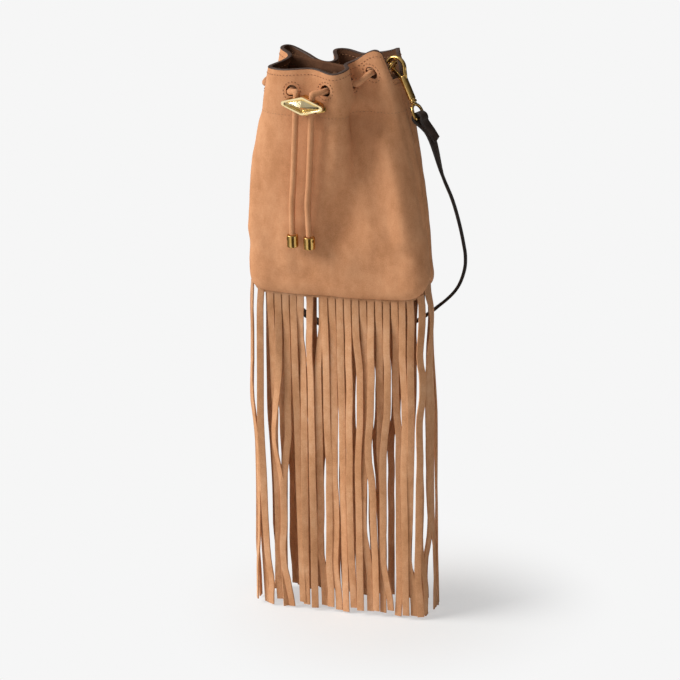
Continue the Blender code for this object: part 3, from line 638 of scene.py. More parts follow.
# %% Places that the cord passes
CORD_RADIUS = 2.6 * MM
SLIDER_AT = Vector((-14.7, -41.8, -9.0)) * MM
SLIDER_PITCH = 6.8 * MM
SLIDE_LINE = Vector((-0.10, 0.10, -1.0)).normalized()
TAIL_LEFT_LOW = [(-31.4, -32.4, -123), (-31.4, -32.4, -112), (-30.8, -32.6, -96)]
TAIL_RIGHT_LOW = [(-17.2, -32.8, -96), (-17.0, -32.6, -112), (-16.7, -32.6, -124)]
STRAIGHT_DOWN = 68 * MM
STRAIGHT_UP = 9 * MM
CORD_CLEAR = 0.7 * MM
CORD_STEPS = 8


def slider_frame():
    """Frame of the slider: Z up along the tails, Y towards the bag."""
    up = -SLIDE_LINE
    across = Vector((0, 1, 0)).cross(up).normalized()
    matrix = Matrix((across, up.cross(across), up)).transposed().to_4x4()
    return Matrix.Translation(SLIDER_AT) @ matrix


def hole_frame(name):
    """Frame of a hole: X outward, Z up."""
    u, height = HOLE_PLACES[name]
    return wall_frame_at(u, height * MM)


def through(name, outward):
    """Three places where the cord passes a hole, outward or inward."""
    inside = HEM + FACING + CORD_RADIUS + CORD_CLEAR
    run = [hole_frame(name) @ Vector((x, 0, 0)) for x in
           (-inside, -(HEM + FACING) / 2, CORD_RADIUS + CORD_CLEAR)]
    return run if outward else run[::-1]


def tail(side):
    """Straight run of one tail through its channel of the slider, from below."""
    return [slider_frame() @ Vector((side * SLIDER_PITCH, 0, z)) for z in
            (-STRAIGHT_DOWN, -STRAIGHT_DOWN / 2, 0, STRAIGHT_UP - MM, STRAIGHT_UP)]


print("the slider is at", [round(v / MM, 1) for v in SLIDER_AT], "mm")

# %% [markdown]
# ## Threading the cord
# The cord goes in through one hole and out through the next: from the slider round the
# left side, across the back, and round the right side to the slider again. A curve with a
# round bevel is the simplest cord, and the length of its line is easy to measure.

# %% Lay the cord
route = [Vector(p) * MM for p in TAIL_LEFT_LOW] + tail(-1)
for name, outward in (("L1", False), ("L2", True), ("L3", False), ("L4", True),
                      ("R4", False), ("R3", True), ("R2", False), ("R1", True)):
    route += through(name, outward)
route += tail(1)[::-1] + [Vector(p) * MM for p in TAIL_RIGHT_LOW]
cord_line = round_path(route, False, CORD_STEPS)

line = bpy.data.curves.new("rolled_cord", "CURVE")
line.dimensions = "3D"
line.bevel_depth = CORD_RADIUS
line.bevel_resolution = 4
line.use_fill_caps = True
spline = line.splines.new("POLY")
spline.points.add(len(cord_line) - 1)
for place, p in zip(spline.points, cord_line):
    place.co = (*p, 1)
spline.use_smooth = True
line.materials.append(BUFFED_SUEDE)
drawstring = bpy.data.objects.new("rolled_cord", line)
bpy.context.collection.objects.link(drawstring)
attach(drawstring, "bag")
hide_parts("drawstring")

# %% [markdown]
# ## The suede panels
# Two panels, front and back, meet in a seam at each side. Each is a fine grid over the
# wall's surface. Where a hole is punched, the cells inside its circle are left out and
# the edge of what is left is drawn onto the circle, which keeps the hole round without
# cutting one mesh with another.

# %% Panels, facing, lining and base
CELL = 1.15 * MM
CELL_TALL = 1.25  # cells are so much taller than wide
RIM_LEVEL = 18 * MM
PANEL_COLUMNS = 165
FACING_COLUMNS = 320
LOW_ROWS = np.array([0, 0.4, 0.9, 1.6, 2.4, 3.4, 4.6, 6.0, 7.6, 9.4]) * MM


def rows_between(low, high, first=()):
    """Shares of the height, close together in the first rows."""
    first = np.asarray(first, float)
    start = (first[-1] + CELL) / (high - low) if len(first) else 0
    count = int((high - low) / CELL / CELL_TALL)
    return np.concatenate([first / (high - low), np.linspace(start, 1, count)])


def grid_faces(columns, rows, closed):
    """Faces of a grid whose points run up each column in turn."""
    wide = columns if closed else columns - 1
    return [(i * rows + j, (i + 1) % columns * rows + j, (i + 1) % columns * rows + j + 1,
             i * rows + j + 1) for i in range(wide) for j in range(rows - 1)]


def sheet_on_wall(name, places, low, high, first, inset, thick, look, closed=False,
                  holes=()):
    """A sheet of leather or cloth on the wall, from low to high at each place."""
    shares = rows_between(BASE_Z if len(first) else FACING_LOW_Z, RIM_LEVEL, first)
    u, share = np.meshgrid(places, shares, indexing="ij")
    z = low + (high[:, None] - low) * share
    rows = len(shares)
    faces = grid_faces(len(places), rows, closed)
    for hole in holes:
        u0, z0 = HOLE_PLACES[hole][0], HOLE_PLACES[hole][1] * MM
        rate = wall_rate(u0, z0)
        x, y = ((u - u0 + 0.5) % 1 - 0.5) * rate, z - z0
        cx, cy = x.ravel(), y.ravel()
        inside = {f for f in faces
                  if np.hypot(cx[list(f)].mean(), cy[list(f)].mean()) < HOLE_RADIUS}
        faces = [f for f in faces if f not in inside]
        edge = {v for f in inside for v in f} & {v for f in faces for v in f}
        for v in edge:
            i, j = divmod(v, rows)
            pull = HOLE_RADIUS / np.hypot(x[i, j], y[i, j])
            u[i, j] += x[i, j] * (pull - 1) / rate
            z[i, j] += y[i, j] * (pull - 1)
    outer = wall_points(u, z, inset).reshape(-1, 3)
    inner = wall_points(u, z, inset + thick).reshape(-1, 3)
    return new_object(name, thicken(outer, inner, faces), look, 60)


half = np.linspace(0, 0.5, PANEL_COLUMNS)
edge_gap = GAP / 2 / (2 * WALL_LENGTH)
half[0] += edge_gap
half[-1] -= edge_gap
for name, node, start, holes in (
        ("suede_panel_front", "body_front_panel", 0, ("L1", "R1", "R2", "R3", "L2")),
        ("suede_panel_back", "body_back_panel", 0.5, ("R4", "L4", "L3"))):
    low = bottom_z(half + start)[:, None]
    panel = sheet_on_wall(name, half + start, low, rim_top(half + start), LOW_ROWS, 0, SKIN,
                          BUFFED_SUEDE, holes=holes)
    stand_in(panel, "suede", node)

ring = np.arange(FACING_COLUMNS) / FACING_COLUMNS
facing = sheet_on_wall("suede_mouth_facing", ring, FACING_LOW_Z, rim_top(ring), (), HEM,
                       FACING, INNER_SUEDE_WITH_PAINTED_SHADE, True, HOLE_PLACES)
stand_in(facing, "suede_inside", "mouth_facing")

# %% [markdown]
# ## Lining
# The lining is a thin woven cotton, cut a little large so that it stands off the suede
# in small creases. It is the same kind of sheet, with its own slow waves added.

# %% Woven lining
THREAD_PITCH = 1.2 * MM  # the real threads are nearer 0.4 mm, too fine to show
THREAD_RELIEF = 0.12 * MM
LINING_SLACK = 2 * MM
LINING_COLUMNS = 200
LINING_ROWS = 70
CREASE = 0.55 * MM
CREASES = 31


def woven(name, dark, light):
    """Plain-weave cotton: two crossing bands of thread, matt, with a slow fade."""
    made, tree, shader = blank(name)
    spot = add(tree, "ShaderNodeUVMap", uv_map="cloth").outputs["UV"]
    scale = 1 / THREAD_PITCH / 2 / pi
    bands = [add(tree, "ShaderNodeTexWave",
                 {"Vector": spot, "Scale": scale, "Distortion": 0.6, "Detail": 1.0},
                 bands_direction=way).outputs["Fac"] for way in ("X", "Y")]
    weave = add(tree, "ShaderNodeMath", {0: bands[0], 1: bands[1]},
                operation="MAXIMUM").outputs[0]
    fade = at_size(tree, 20 * MM, 3)
    value = blend_of(tree, [(weave, 0.5), (fade, 0.5)])
    surface(tree, shader, (value, [(0.3, dark), (0.8, light)]), (weave, 0.95, 0.8),
            (weave, THREAD_RELIEF, 0.8))
    shader.inputs["Specular IOR Level"].default_value = 0.25
    return made


def cloth_map(piece):
    """A UV map in metres: round the wall, and up."""
    layer = piece.data.uv_layers.new(name="cloth")
    places = np.array([v.co for v in piece.data.vertices])
    around = np.arctan2(places[:, 1], places[:, 0]) * WALL_LENGTH / (2 * pi)
    for loop in piece.data.loops:
        layer.data[loop.index].uv = (around[loop.vertex_index], places[loop.vertex_index, 2])


COTTON = woven("plain_weave_cotton", "#4f3524", "#7a5539")
ring = np.arange(LINING_COLUMNS) / LINING_COLUMNS
low, high = BASE_Z + SKIN + 2 * GAP, FACING_LOW_Z - GAP
shares = np.linspace(0, 1, LINING_ROWS)
u, share = np.meshgrid(ring, shares, indexing="ij")
low = low + np.maximum(bottom_z(u) - BASE_Z, 0)
z = low + (high - low) * share
crease = np.sin(2 * pi * u * CREASES + 3 * np.sin(share * 5)) * np.sin(pi * share) * CREASE
layers = [wall_points(u, z, HEM + LINING_SLACK + deep + crease).reshape(-1, 3)
          for deep in (0, LINING)]
lining = new_object("cotton_lining", thicken(*layers, grid_faces(*u.shape, True)), COTTON, 60)
cloth_map(lining)
stand_in(lining, "lining_cloth", "lining")

# %% [markdown]
# ## Base
# One flat piece of leather closes the bottom. It is a stack of shrinking rings, sagging a
# little in the middle and lifted at its edge where the side seams pull it up, with a top
# layer a skin's thickness higher.

# %% Leather base
BASE_STEPS = 160
BASE_TUCK = 0.8      # the base ends inside the edge by this share of the roll's depth
BASE_RINGS = [(1, 0), (0.985, -0.35), (0.9, -0.5), (0.6, -0.2), (0.3, 0), (0.01, 0.1)]
LIFT_FADE = 8        # the edge's lift dies away fast towards the middle

ring = np.arange(BASE_STEPS) / BASE_STEPS
at, out = plan(ring, np.full(BASE_STEPS, BASE_Z))
outline = at - out * (HEM + ROLL_DEPTH * BASE_TUCK)
lifted = np.maximum(bottom_z(ring) - BASE_Z, 0)
points = [(p.real * s, p.imag * s,
           BASE_Z + side * SKIN + sink * MM * (1 - side) + up * s ** LIFT_FADE)
          for side in (0, 1) for s, sink in BASE_RINGS for p, up in zip(outline, lifted)]
rounds = len(BASE_RINGS)
faces = []
for side in (0, 1):
    for k in range(side * rounds, side * rounds + rounds - 1):
        a, b = k * BASE_STEPS, (k + 1) * BASE_STEPS
        for i in range(BASE_STEPS):
            after = (i + 1) % BASE_STEPS
            quad = (a + i, b + i, b + after, a + after)
            faces.append(quad if side == 0 else quad[::-1])
    last = [b + i for i in range(BASE_STEPS)]
    faces.append(tuple(last[::-1] if side == 0 else last))
top = rounds * BASE_STEPS
faces += [(i, (i + 1) % BASE_STEPS, top + (i + 1) % BASE_STEPS, top + i)
          for i in range(BASE_STEPS)]
base = new_object("base_leather", mesh_of(points, faces), INNER_SUEDE_WITH_PAINTED_SHADE)
stand_in(base, "suede_inside", "base_panel")

# %% [markdown]
# ## One tree that sweeps a strip
# Painted edge, fringe, strap and wire all follow a line with the same section all along.
# One Geometry Nodes tree does them: it turns mesh edges into curves, points their normals
# the way that each point's facing attribute says, and sweeps a rounded rectangle. With the
# corners rounded by half the size, the rectangle is a wire.

# %% Start and end of a tree
def new_tree(name, numbers):
    """An empty geometry tree with a Lines input, named numbers and a Finish."""
    tree = bpy.data.node_groups.new(name, "GeometryNodeTree")
    sockets = {"Lines": tree.interface.new_socket("Lines", in_out="INPUT",
                                                  socket_type="NodeSocketGeometry")}
    for label in numbers:
        sockets[label] = tree.interface.new_socket(label, in_out="INPUT",
                                                   socket_type="NodeSocketFloat")
    sockets["Finish"] = tree.interface.new_socket("Finish", in_out="INPUT",
                                                  socket_type="NodeSocketMaterial")
    tree.interface.new_socket("Mesh", in_out="OUTPUT", socket_type="NodeSocketGeometry")
    start = tree.nodes.new("NodeGroupInput")
    end = tree.nodes.new("NodeGroupOutput")
    return tree, sockets, start.outputs, end


def close_tree(tree, mesh, start, end):
    """End a tree: make instances real, give them the finish and hand them out."""
    real = add(tree, "GeometryNodeRealizeInstances", {"Geometry": mesh}).outputs["Geometry"]
    done = add(tree, "GeometryNodeSetMaterial", {"Geometry": real, "Material": start["Finish"]})
    tree.links.new(done.outputs["Geometry"], end.inputs["Mesh"])


print("a tree ends with the finish that its object asks for")

# %% The sweep tree
SWEEP, SWEEP_IN, start, end = new_tree("sweep_strip", ("Thickness", "Width", "Corner"))
curve = add(SWEEP, "GeometryNodeMeshToCurve", {"Mesh": start["Lines"]}).outputs["Curve"]
facing_way = add(SWEEP, "GeometryNodeInputNamedAttribute", {"Name": "facing"},
                 data_type="FLOAT_VECTOR").outputs["Attribute"]
curve = add(SWEEP, "GeometryNodeSetCurveNormal", {"Curve": curve, "Normal": facing_way},
            mode="FREE").outputs["Curve"]
section = add(SWEEP, "GeometryNodeCurvePrimitiveQuadrilateral",
              {"Width": start["Thickness"], "Height": start["Width"]}).outputs["Curve"]
section = add(SWEEP, "GeometryNodeFilletCurve",
              {"Curve": section, "Count": 4, "Radius": start["Corner"], "Limit Radius": True},
              mode="POLY").outputs["Curve"]
swept = add(SWEEP, "GeometryNodeCurveToMesh",
            {"Curve": curve, "Profile Curve": section, "Fill Caps": True}).outputs["Mesh"]
close_tree(SWEEP, swept, start, end)
print("sweep tree:", len(SWEEP.nodes), "nodes")

# %% [markdown]
# ## Running a tree on lines
# The lines are a mesh of edges whose points carry their facing and, for the fringe, their
# tone and painted shade.

# %% Helpers that sweep
def run_tree(name, tree, sockets, lines, numbers, look):
    """Run a tree on an object made of lines, and keep the plain mesh."""
    step = lines.modifiers.new("tree", "NODES")
    step.node_group = tree
    for label, value in numbers.items():
        step[sockets[label].identifier] = value
    step[sockets["Finish"].identifier] = look
    plain(lines)
    mesh = lines.data
    bpy.data.objects.remove(lines, do_unlink=True)
    return new_object(name, mesh, None, 50)


def lines_object(runs, facings=None, tones_and_shade=None, closed=False):
    """Mesh edges along each run of points, with the facing of each point."""
    points, edges = [], []
    for run in runs:
        first = len(points)
        points += [tuple(p) for p in run]
        edges += [(first + i, first + i + 1) for i in range(len(run) - 1)]
        if closed:
            edges.append((len(points) - 1, first))
    mesh = bpy.data.meshes.new("lines")
    mesh.from_pydata(points, edges, [])
    if facings is not None:
        way = mesh.attributes.new("facing", "FLOAT_VECTOR", "POINT")
        way.data.foreach_set("vector", np.asarray(facings, np.float32).ravel())
    if tones_and_shade is not None:
        tone_and_shade = mesh.attributes.new("tone_and_shade", "FLOAT", "POINT")
        tone_and_shade.data.foreach_set("value", np.asarray(tones_and_shade, np.float32).ravel())
    made = bpy.data.objects.new("lines", mesh)
    bpy.context.collection.objects.link(made)
    return made


def sweep(name, runs, facings, thick, wide, corner, look, closed=False, tones_and_shade=None):
    """A strip with rounded corners along each run; thick is measured along the facing."""
    return run_tree(name, SWEEP, SWEEP_IN, lines_object(runs, facings, tones_and_shade, closed),
                    {"Thickness": thick, "Width": wide, "Corner": corner}, look)


print("facings decide which way a strip's broad side looks")

# %% [markdown]
# ## The painted edge of the mouth
# Where suede and facing end at the mouth, their raw edges are glued, sanded and painted
# with a dark, slightly rubbery edge paint. It stands up as a soft bead, so it is swept
# along the rim with well rounded corners.

# %% Edge paint on the rim
EDGE_HIGH = 1.05 * MM
EDGE_OVER = 0.12 * MM
EDGE_ROUND = 0.55 * MM
EDGE_RISE = 0.15 * MM
EDGE_POINTS = 420
DAB_SIZE = 1.4 * MM
DAB_RELIEF = 0.12 * MM


def edge_paint(name, code, light, roughness):
    """Acrylic edge paint: satin, with the slight orange peel of a dabbed coat."""
    made, tree, shader = blank(name)
    dab = at_size(tree, DAB_SIZE, 2)
    surface(tree, shader, (dab, [(0.3, code), (0.7, light)]),
            (dab, roughness - 0.08, roughness + 0.08), (dab, DAB_RELIEF, 0.5))
    shader.inputs["Specular IOR Level"].default_value = 0.4
    return made


RIM_PAINT = edge_paint("umber_edge_paint", "#3d2b22", "#554036", 0.5)
ring = np.arange(EDGE_POINTS) / EDGE_POINTS
top = rim_top(ring)
at, out = plan(ring, top)
middle = at - out * (HEM + FACING) / 2
run = np.stack([middle.real, middle.imag, top + EDGE_RISE], -1)
outward = np.stack([out.real, out.imag, np.zeros(EDGE_POINTS)], -1)
rim_bead = sweep("painted_rim_edge", [run], outward, HEM + FACING + 2 * EDGE_OVER,
                 EDGE_HIGH, EDGE_ROUND, RIM_PAINT, closed=True)
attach(rim_bead, "bag")
print("the painted edge has", len(rim_bead.data.polygons), "faces")

# %% [markdown]
# ## Stitches
# A lock stitch shows as a row of short raised dashes. A second tree walks along any line,
# sets a point every few millimetres and puts one small rounded dash on it, turned along
# the line.

# %% The stitch tree
STITCH, STITCH_IN, start, end = new_tree("stitch_row", ("Step", "Length", "Width"))
curve = add(STITCH, "GeometryNodeMeshToCurve", {"Mesh": start["Lines"]}).outputs["Curve"]
spots = add(STITCH, "GeometryNodeCurveToPoints", {"Curve": curve, "Length": start["Step"]},
            mode="LENGTH")
along = add(STITCH, "FunctionNodeAlignRotationToVector", {"Vector": spots.outputs["Tangent"]},
            axis="X")
size = add(STITCH, "ShaderNodeCombineXYZ", {"X": start["Length"], "Y": start["Width"],
                                            "Z": start["Width"]})
dash = add(STITCH, "GeometryNodeMeshUVSphere", {"Segments": 8, "Rings": 5, "Radius": 0.5})
placed = add(STITCH, "GeometryNodeInstanceOnPoints",
             {"Points": spots.outputs["Points"], "Instance": dash.outputs["Mesh"],
              "Rotation": along.outputs["Rotation"], "Scale": size.outputs["Vector"]})
close_tree(STITCH, placed.outputs["Instances"], start, end)
print("stitch tree:", len(STITCH.nodes), "nodes")

# %% [markdown]
# ## Rows of thread at the mouth
# Rows run under the rim and round each hole, on the outside and on the inside, and one row
# of lighter thread runs along the hem of the facing. The thread stands a little out of
# the leather on either side.

# %% Thread and its rows
STITCH_STEP = 3.1 * MM
STITCH_LONG = 1.8 * MM
STITCH_WIDE = 0.72 * MM
HOLE_ROW = 7.5 * MM
HOLE_ROW_POINTS = 60
RIM_ROW_DROP = 4.4 * MM
ROW_POINTS = 500
THREAD_PROUD = 0.12 * MM
HEM_ROW_SUNK = 0.05 * MM
WAX_SIZE = 1.1 * MM
WAX_RELIEF = 0.1 * MM


def thread(name, code, light):
    """Waxed polyester thread: a slight gloss, lighter where the wax has rubbed off."""
    made, tree, shader = blank(name)
    wax = at_size(tree, WAX_SIZE, 2)
    surface(tree, shader, (wax, [(0.35, code), (0.65, light)]), (wax, 0.5, 0.7),
            (wax, WAX_RELIEF, 0.5))
    return made


WAXED_THREAD = thread("waxed_brown_thread", "#8f5d3a", "#a97550")
HEM_THREAD = thread("waxed_tan_thread", "#a8784f", "#bd8c62")


def stitch(name, runs, closed, step=STITCH_STEP, look=WAXED_THREAD):
    """Rows of dashes along the runs."""
    return run_tree(name, STITCH, STITCH_IN, lines_object(runs, closed=closed),
                    {"Step": step, "Length": STITCH_LONG, "Width": STITCH_WIDE}, look)


def round_hole(name, inset):
    """Circle on the wall round a hole, for its row of stitches."""
    u0, z0 = HOLE_PLACES[name][0], HOLE_PLACES[name][1] * MM
    a = np.linspace(0, 2 * pi, HOLE_ROW_POINTS, endpoint=False)
    return wall_points(u0 + np.cos(a) * HOLE_ROW / wall_rate(u0, z0),
                       z0 + np.sin(a) * HOLE_ROW, inset)


sides = (-THREAD_PROUD, HEM + FACING + THREAD_PROUD)
ring = np.arange(ROW_POINTS) / ROW_POINTS
rings = [round_hole(name, inset) for name in HOLE_PLACES for inset in sides]
rings += [wall_points(ring, rim_top(ring) - RIM_ROW_DROP, inset) for inset in sides]
sewn = stitch("mouth_stitches", rings, True)
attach(sewn, "bag")
hem_line = wall_points(ring, np.full(ROW_POINTS, FACING_LOW_Z), HEM_ROW_SUNK)
hem_row = stitch("hem_stitches", [hem_line], True, look=HEM_THREAD)
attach(hem_row, "bag")
print("stitches:", len(sewn.data.polygons) + len(hem_row.data.polygons), "faces")

# %% [markdown]
# ## The fringe
# A broad strip of suede is slit into 28 strands a side and sewn into the base seam. Cut
# edge to edge, the strands sway, turn and slide over each other, and light shows through
# where they part. Each strand is a line of points from the seam to its tip. Chance gives
# it its sway, turn and depth, but a person sees at once where the light comes through, so
# the larger gaps are a list, and the strands beside each one are moved aside.

# %% Gaps in the fringe
STRANDS = 28
STRAND_WIDTH = 6.0 * MM
STRAND_THICK = 1.3 * MM
STRAND_POINTS = 34
STRAND_HALF = 3.5  # in pixels
GAP_EASE = 16
GAPS = [  # half width in pixels, line of (picture x, picture y)
    (0.9, [(257, 288), (257, 330), (257, 396)]),
    (1.2, [(264.8, 303), (265.2, 420), (268, 470), (271, 534), (274, 562)]),
    (1.1, [(305.1, 302), (305, 335)]), (0.7, [(317.6, 304), (317.6, 326)]),
    (0.4, [(356.2, 380), (356.2, 422)]), (0.5, [(375.2, 376), (374, 422)]),
    (0.3, [(372, 448), (372, 458)]), (0.4, [(391.4, 373), (391, 422)]),
    (0.3, [(401, 403), (401, 437)]),
    (1.1, [(418.2, 312), (418, 400), (416, 430), (414.5, 500), (413.4, 562)]),
    (0.8, [(426.6, 312), (425, 345), (423.6, 360)]), (0.4, [(279, 416), (279, 444)]),
    (0.8, [(288.7, 476), (288.7, 562)]), (0.6, [(325.3, 468), (325.3, 552)]),
    (0.3, [(338.5, 418), (338.5, 482)]), (0.6, [(367.9, 487), (367.9, 530)]),
    (1.0, [(387.7, 455), (387.7, 500), (388, 561)]), (0.4, [(395, 433), (395.4, 590)]),
    (0.7, [(423.6, 418), (424, 457), (425, 503), (425, 548)]), (0.8, [(430, 556), (430, 602)]),
]


def smoothed(shift, weights):
    """Shifts averaged with their neighbours along each strand."""
    weights = np.array(weights) / sum(weights)
    beyond = len(weights) // 2
    padded = np.pad(shift, ((0, 0), (beyond, beyond)), mode="edge")
    return np.stack([np.convolve(row, weights, mode="valid") for row in padded])


def moved_aside(points, shift, depth):
    """Points moved across the picture by a number of pixels."""
    return points + (shift * depth / FOCAL_PIXELS)[..., None] * np.array(picture_x)


def gap_at(gap, y):
    """Picture x of a gap's middle at picture height y."""
    return np.interp(y, [p[1] for p in gap], [p[0] for p in gap])


def part_strands(points, middle_x):
    """Move each strand's points aside, in pixels, where a gap runs past it."""
    x, y, depth = pixel_of(points)
    shift = np.zeros(x.shape)
    for half_wide, gap in GAPS:
        low_y, high_y = gap[0][1], gap[-1][1]
        inside = np.clip((y - low_y + GAP_EASE) / GAP_EASE, 0, 1)
        inside *= np.clip((high_y + GAP_EASE - y) / GAP_EASE, 0, 1)
        centre = sum(p[0] for p in gap) / len(gap)
        side = np.where(middle_x < centre, -1, 1)[:, None]
        lacking = STRAND_HALF + half_wide - (x + shift - gap_at(gap, y)) * side
        shift += side * np.clip(lacking, 0, STRAND_HALF + half_wide) * smooth(inside)
    return moved_aside(points, smoothed(shift, [1, 2, 3, 4, 3, 2, 1]), depth)


print(len(GAPS), "gaps are drawn by hand")

# %% [markdown]
# ## Closing what the picture doesn't show
# Chance also leaves openings that nobody sees in the picture. Each is found by looking
# along a level for columns that no strand covers, and the two strands on either side are
# slid over it, the nearer one further. Closing one may open another, so it takes rounds.

# %% Settle the strands
SEEN_X = (255, 431)
SETTLE_ROUNDS = 14
LOOK_STEP = 0.5
EDGE_SPARE = 0.3   # pixels that a strand covers a little less than its half width
OVERLAP = 0.9
LEVEL_SPARE = 3
NEAR_SHARES = np.array([0.5, 1])


def open_groups(at, level_y):
    """Stretches of the picture that no strand covers, apart from the listed gaps."""
    columns = np.arange(*SEEN_X, LOOK_STEP)
    is_open = (np.abs(columns[:, None] - at) > STRAND_HALF - EDGE_SPARE).all(1)
    for half_wide, gap in GAPS:
        if gap[0][1] - LEVEL_SPARE < level_y < gap[-1][1] + LEVEL_SPARE:
            is_open &= np.abs(columns - gap_at(gap, level_y)) > half_wide + EDGE_SPARE
    where = columns[is_open]
    if not len(where):
        return []
    return np.split(where, np.flatnonzero(np.diff(where) > LOOK_STEP * 1.2) + 1)


def settle(points):
    """Slide strands towards openings that the picture doesn't show, a little at a time."""
    x, y, depth = pixel_of(points)
    level_y = y.mean(0)
    home = x[:, x.shape[1] // 3]
    for _ in range(SETTLE_ROUNDS):
        shift = np.zeros(x.shape)
        now = pixel_of(points)[0]
        for k in range(2, x.shape[1]):
            at = now[:, k]
            for group in open_groups(at, level_y[k]):
                need = (group[-1] - group[0] + OVERLAP) / 2
                left, right = np.flatnonzero(at < group[0]), np.flatnonzero(at > group[-1])
                left = left[np.argsort(at[left])[-2:]]
                right = right[np.argsort(at[right])[:2]][::-1]
                for way, two in ((1, left), (-1, right)):
                    if len(two):
                        shift[two, k] += way * need * NEAR_SHARES[-len(two):]
        points = moved_aside(points, smoothed(shift, [1, 3, 4, 3, 1]), depth)
        points = part_strands(points, home)
    return points


print("the strands settle in", SETTLE_ROUNDS, "rounds")

# %% [markdown]
# ## How one strand hangs
# From the seam a strand hangs straight for a moment, then sways sideways, drifts in and
# out and turns about its length, each as a slow wave with its own start. Neighbours lie in
# two layers, so that they can slide over each other. A fixed seed gives the same fringe on
# every run.

# %% Sway, depth and turn of the strands
FRINGE_INSET = 5.6 * MM
LAYER_STEP = 1.9 * MM
TIP_SPREAD = (-1.5, 4.5)
SEAM_OVER = 1.6 * MM
HELD = 0.03        # share of the length that the seam holds still
FREE_RUN = 0.12
LOOSE_RUN = 0.35
LOOSE = 3.6 * MM
SWAY = 0.9 * MM
DRIFT = 1.3 * MM
TURN = (4, 17)
BOLD_SHARE = 0.16  # so many strands turn BOLD_TURN times as far
BOLD_TURN = 2.6
TONES = (0.88, 1.05)
# Painted shade: the strands' colour is darkened near the seam, where the bag's shadow falls on
# them.
UNDER_BAG_PAINTED_SHADE = 0.8       # the strands are darker under the bag


def strands(start, seed):
    """Points, facings, and tones with painted shade near the seam, of one side's strands."""
    rng = np.random.default_rng(seed)
    u = (start + (np.arange(STRANDS) + 0.5) * 0.5 / STRANDS) % 1
    at, out = plan(u, np.full(STRANDS, BASE_Z))
    at, out = at[:, None], out[:, None]
    fall = np.linspace(0, 1, STRAND_POINTS)[None, :]
    tip = TIP_Z + rng.uniform(*TIP_SPREAD, (STRANDS, 1)) * MM
    top = bottom_z(u)[:, None] + SEAM_OVER
    z = top + (tip - top) * fall
    free = smooth(np.clip((fall - HELD) / FREE_RUN, 0, 1))
    loose = np.clip((fall - HELD) / LOOSE_RUN, 0, 1)
    begin = rng.uniform(0, 2 * pi, (3, STRANDS, 1))
    speed = rng.uniform(0.5, 1.2, (3, STRANDS, 1))
    sway, drift, turning = np.sin(2 * pi * speed * fall + begin)
    aside = (sway - np.sin(begin[0])) * SWAY * fall ** 0.6
    layer = (np.arange(STRANDS) % 2)[:, None] * LAYER_STEP + rng.uniform(0, 1, (STRANDS, 1)) * MM
    deep = FRINGE_INSET - loose * LOOSE + layer * free
    deep = deep + (drift - np.sin(begin[1])) * DRIFT * free
    swing = rng.uniform(*TURN, (STRANDS, 1))
    swing[rng.random(STRANDS) < BOLD_SHARE] *= BOLD_TURN
    twist = np.radians(swing) * turning * free
    place = at - out * deep + out * 1j * aside
    points = np.stack([place.real, place.imag, z], -1)
    points = part_strands(points, pixel_of(points[:, STRAND_POINTS // 3])[0])
    way = out * np.exp(1j * twist)
    facings = np.stack([way.real, way.imag, np.zeros(way.shape)], -1)
    # Painted shade: each strand's tone is darkened at the seam and eases to full over the first
    # part of its fall.
    shade = UNDER_BAG_PAINTED_SHADE + (1 - UNDER_BAG_PAINTED_SHADE) * np.clip(fall / FREE_RUN, 0, 1)
    return points, facings.reshape(-1, 3), rng.uniform(*TONES, (STRANDS, 1)) * shade


FRINGES = (("fringe_strands_front", "fringe_front", 0, 11),
           ("fringe_strands_back", "fringe_back", 0.5, 23))
hung = [strands(start, seed) for _, _, start, seed in FRINGES]
settled = np.split(settle(np.concatenate([points for points, _, _ in hung])), len(FRINGES))
print("strands:", len(FRINGES), "times", STRANDS, "with", STRAND_POINTS, "points each")

# %% [markdown]
# ## Sewing the fringe on
# Above the slits the strip is whole: a narrow band that the base seam holds. Strands and
# band are joined into one piece a side. A band tone darker than the strands stands for
# the shadow under the bag.

# %% Strands and their band
STRAND_CORNER = 0.28 * MM
BAND_COLUMNS = 120
BAND_LEVELS = np.array([1.8, 0, -1.2, -2.4]) * MM
BAND_END = 0.001
# Painted shadow: the band's colour is darkened to stand for the bag's shadow on it.
BAND_PAINTED_SHADOW = 0.7


def fringe_band(start):
    """The uncut strip in the base seam, from one side seam to the other."""
    places = np.linspace(start + BAND_END, start + 0.5 - BAND_END, BAND_COLUMNS)
    u, drop = np.meshgrid(places, BAND_LEVELS, indexing="ij")
    z = bottom_z(u) + drop
    at, out = plan(u, np.full(u.shape, BASE_Z))
    layers = []
    for deep in (-STRAND_THICK / 2, STRAND_THICK / 2):
        p = at - out * (FRINGE_INSET + deep)
        layers.append(np.stack([p.real, p.imag, z], -1).reshape(-1, 3))
    mesh = thicken(*layers, [f[::-1] for f in grid_faces(*u.shape, False)])
    tone_and_shade = mesh.attributes.new("tone_and_shade", "FLOAT", "POINT")
    tone_and_shade.data.foreach_set("value", np.full(len(mesh.vertices), BAND_PAINTED_SHADOW, np.float32))
    return new_object("band", mesh, CUT_SUEDE)


for (name, node, start, _), (_, facings, tones_and_shade), points in zip(FRINGES, hung, settled):
    hanging = sweep("strands", points, facings, STRAND_THICK, STRAND_WIDTH, STRAND_CORNER,
                    CUT_SUEDE, tones_and_shade=tones_and_shade)
    fringe = join(name, [hanging, fringe_band(start)], CUT_SUEDE)
    stand_in(fringe, "suede", node)

# %% [markdown]
# ## Gold
# The hardware is zinc alloy, cast, polished and plated. Thin plating over a polished cast
# has almost no grain, so the metal is read from what it mirrors; only a faint cloud in
# its roughness and a very fine scratch keep it from looking like a perfect mirror.

# %% Plated metal
SCRATCH_DEPTH = 0.01 * MM


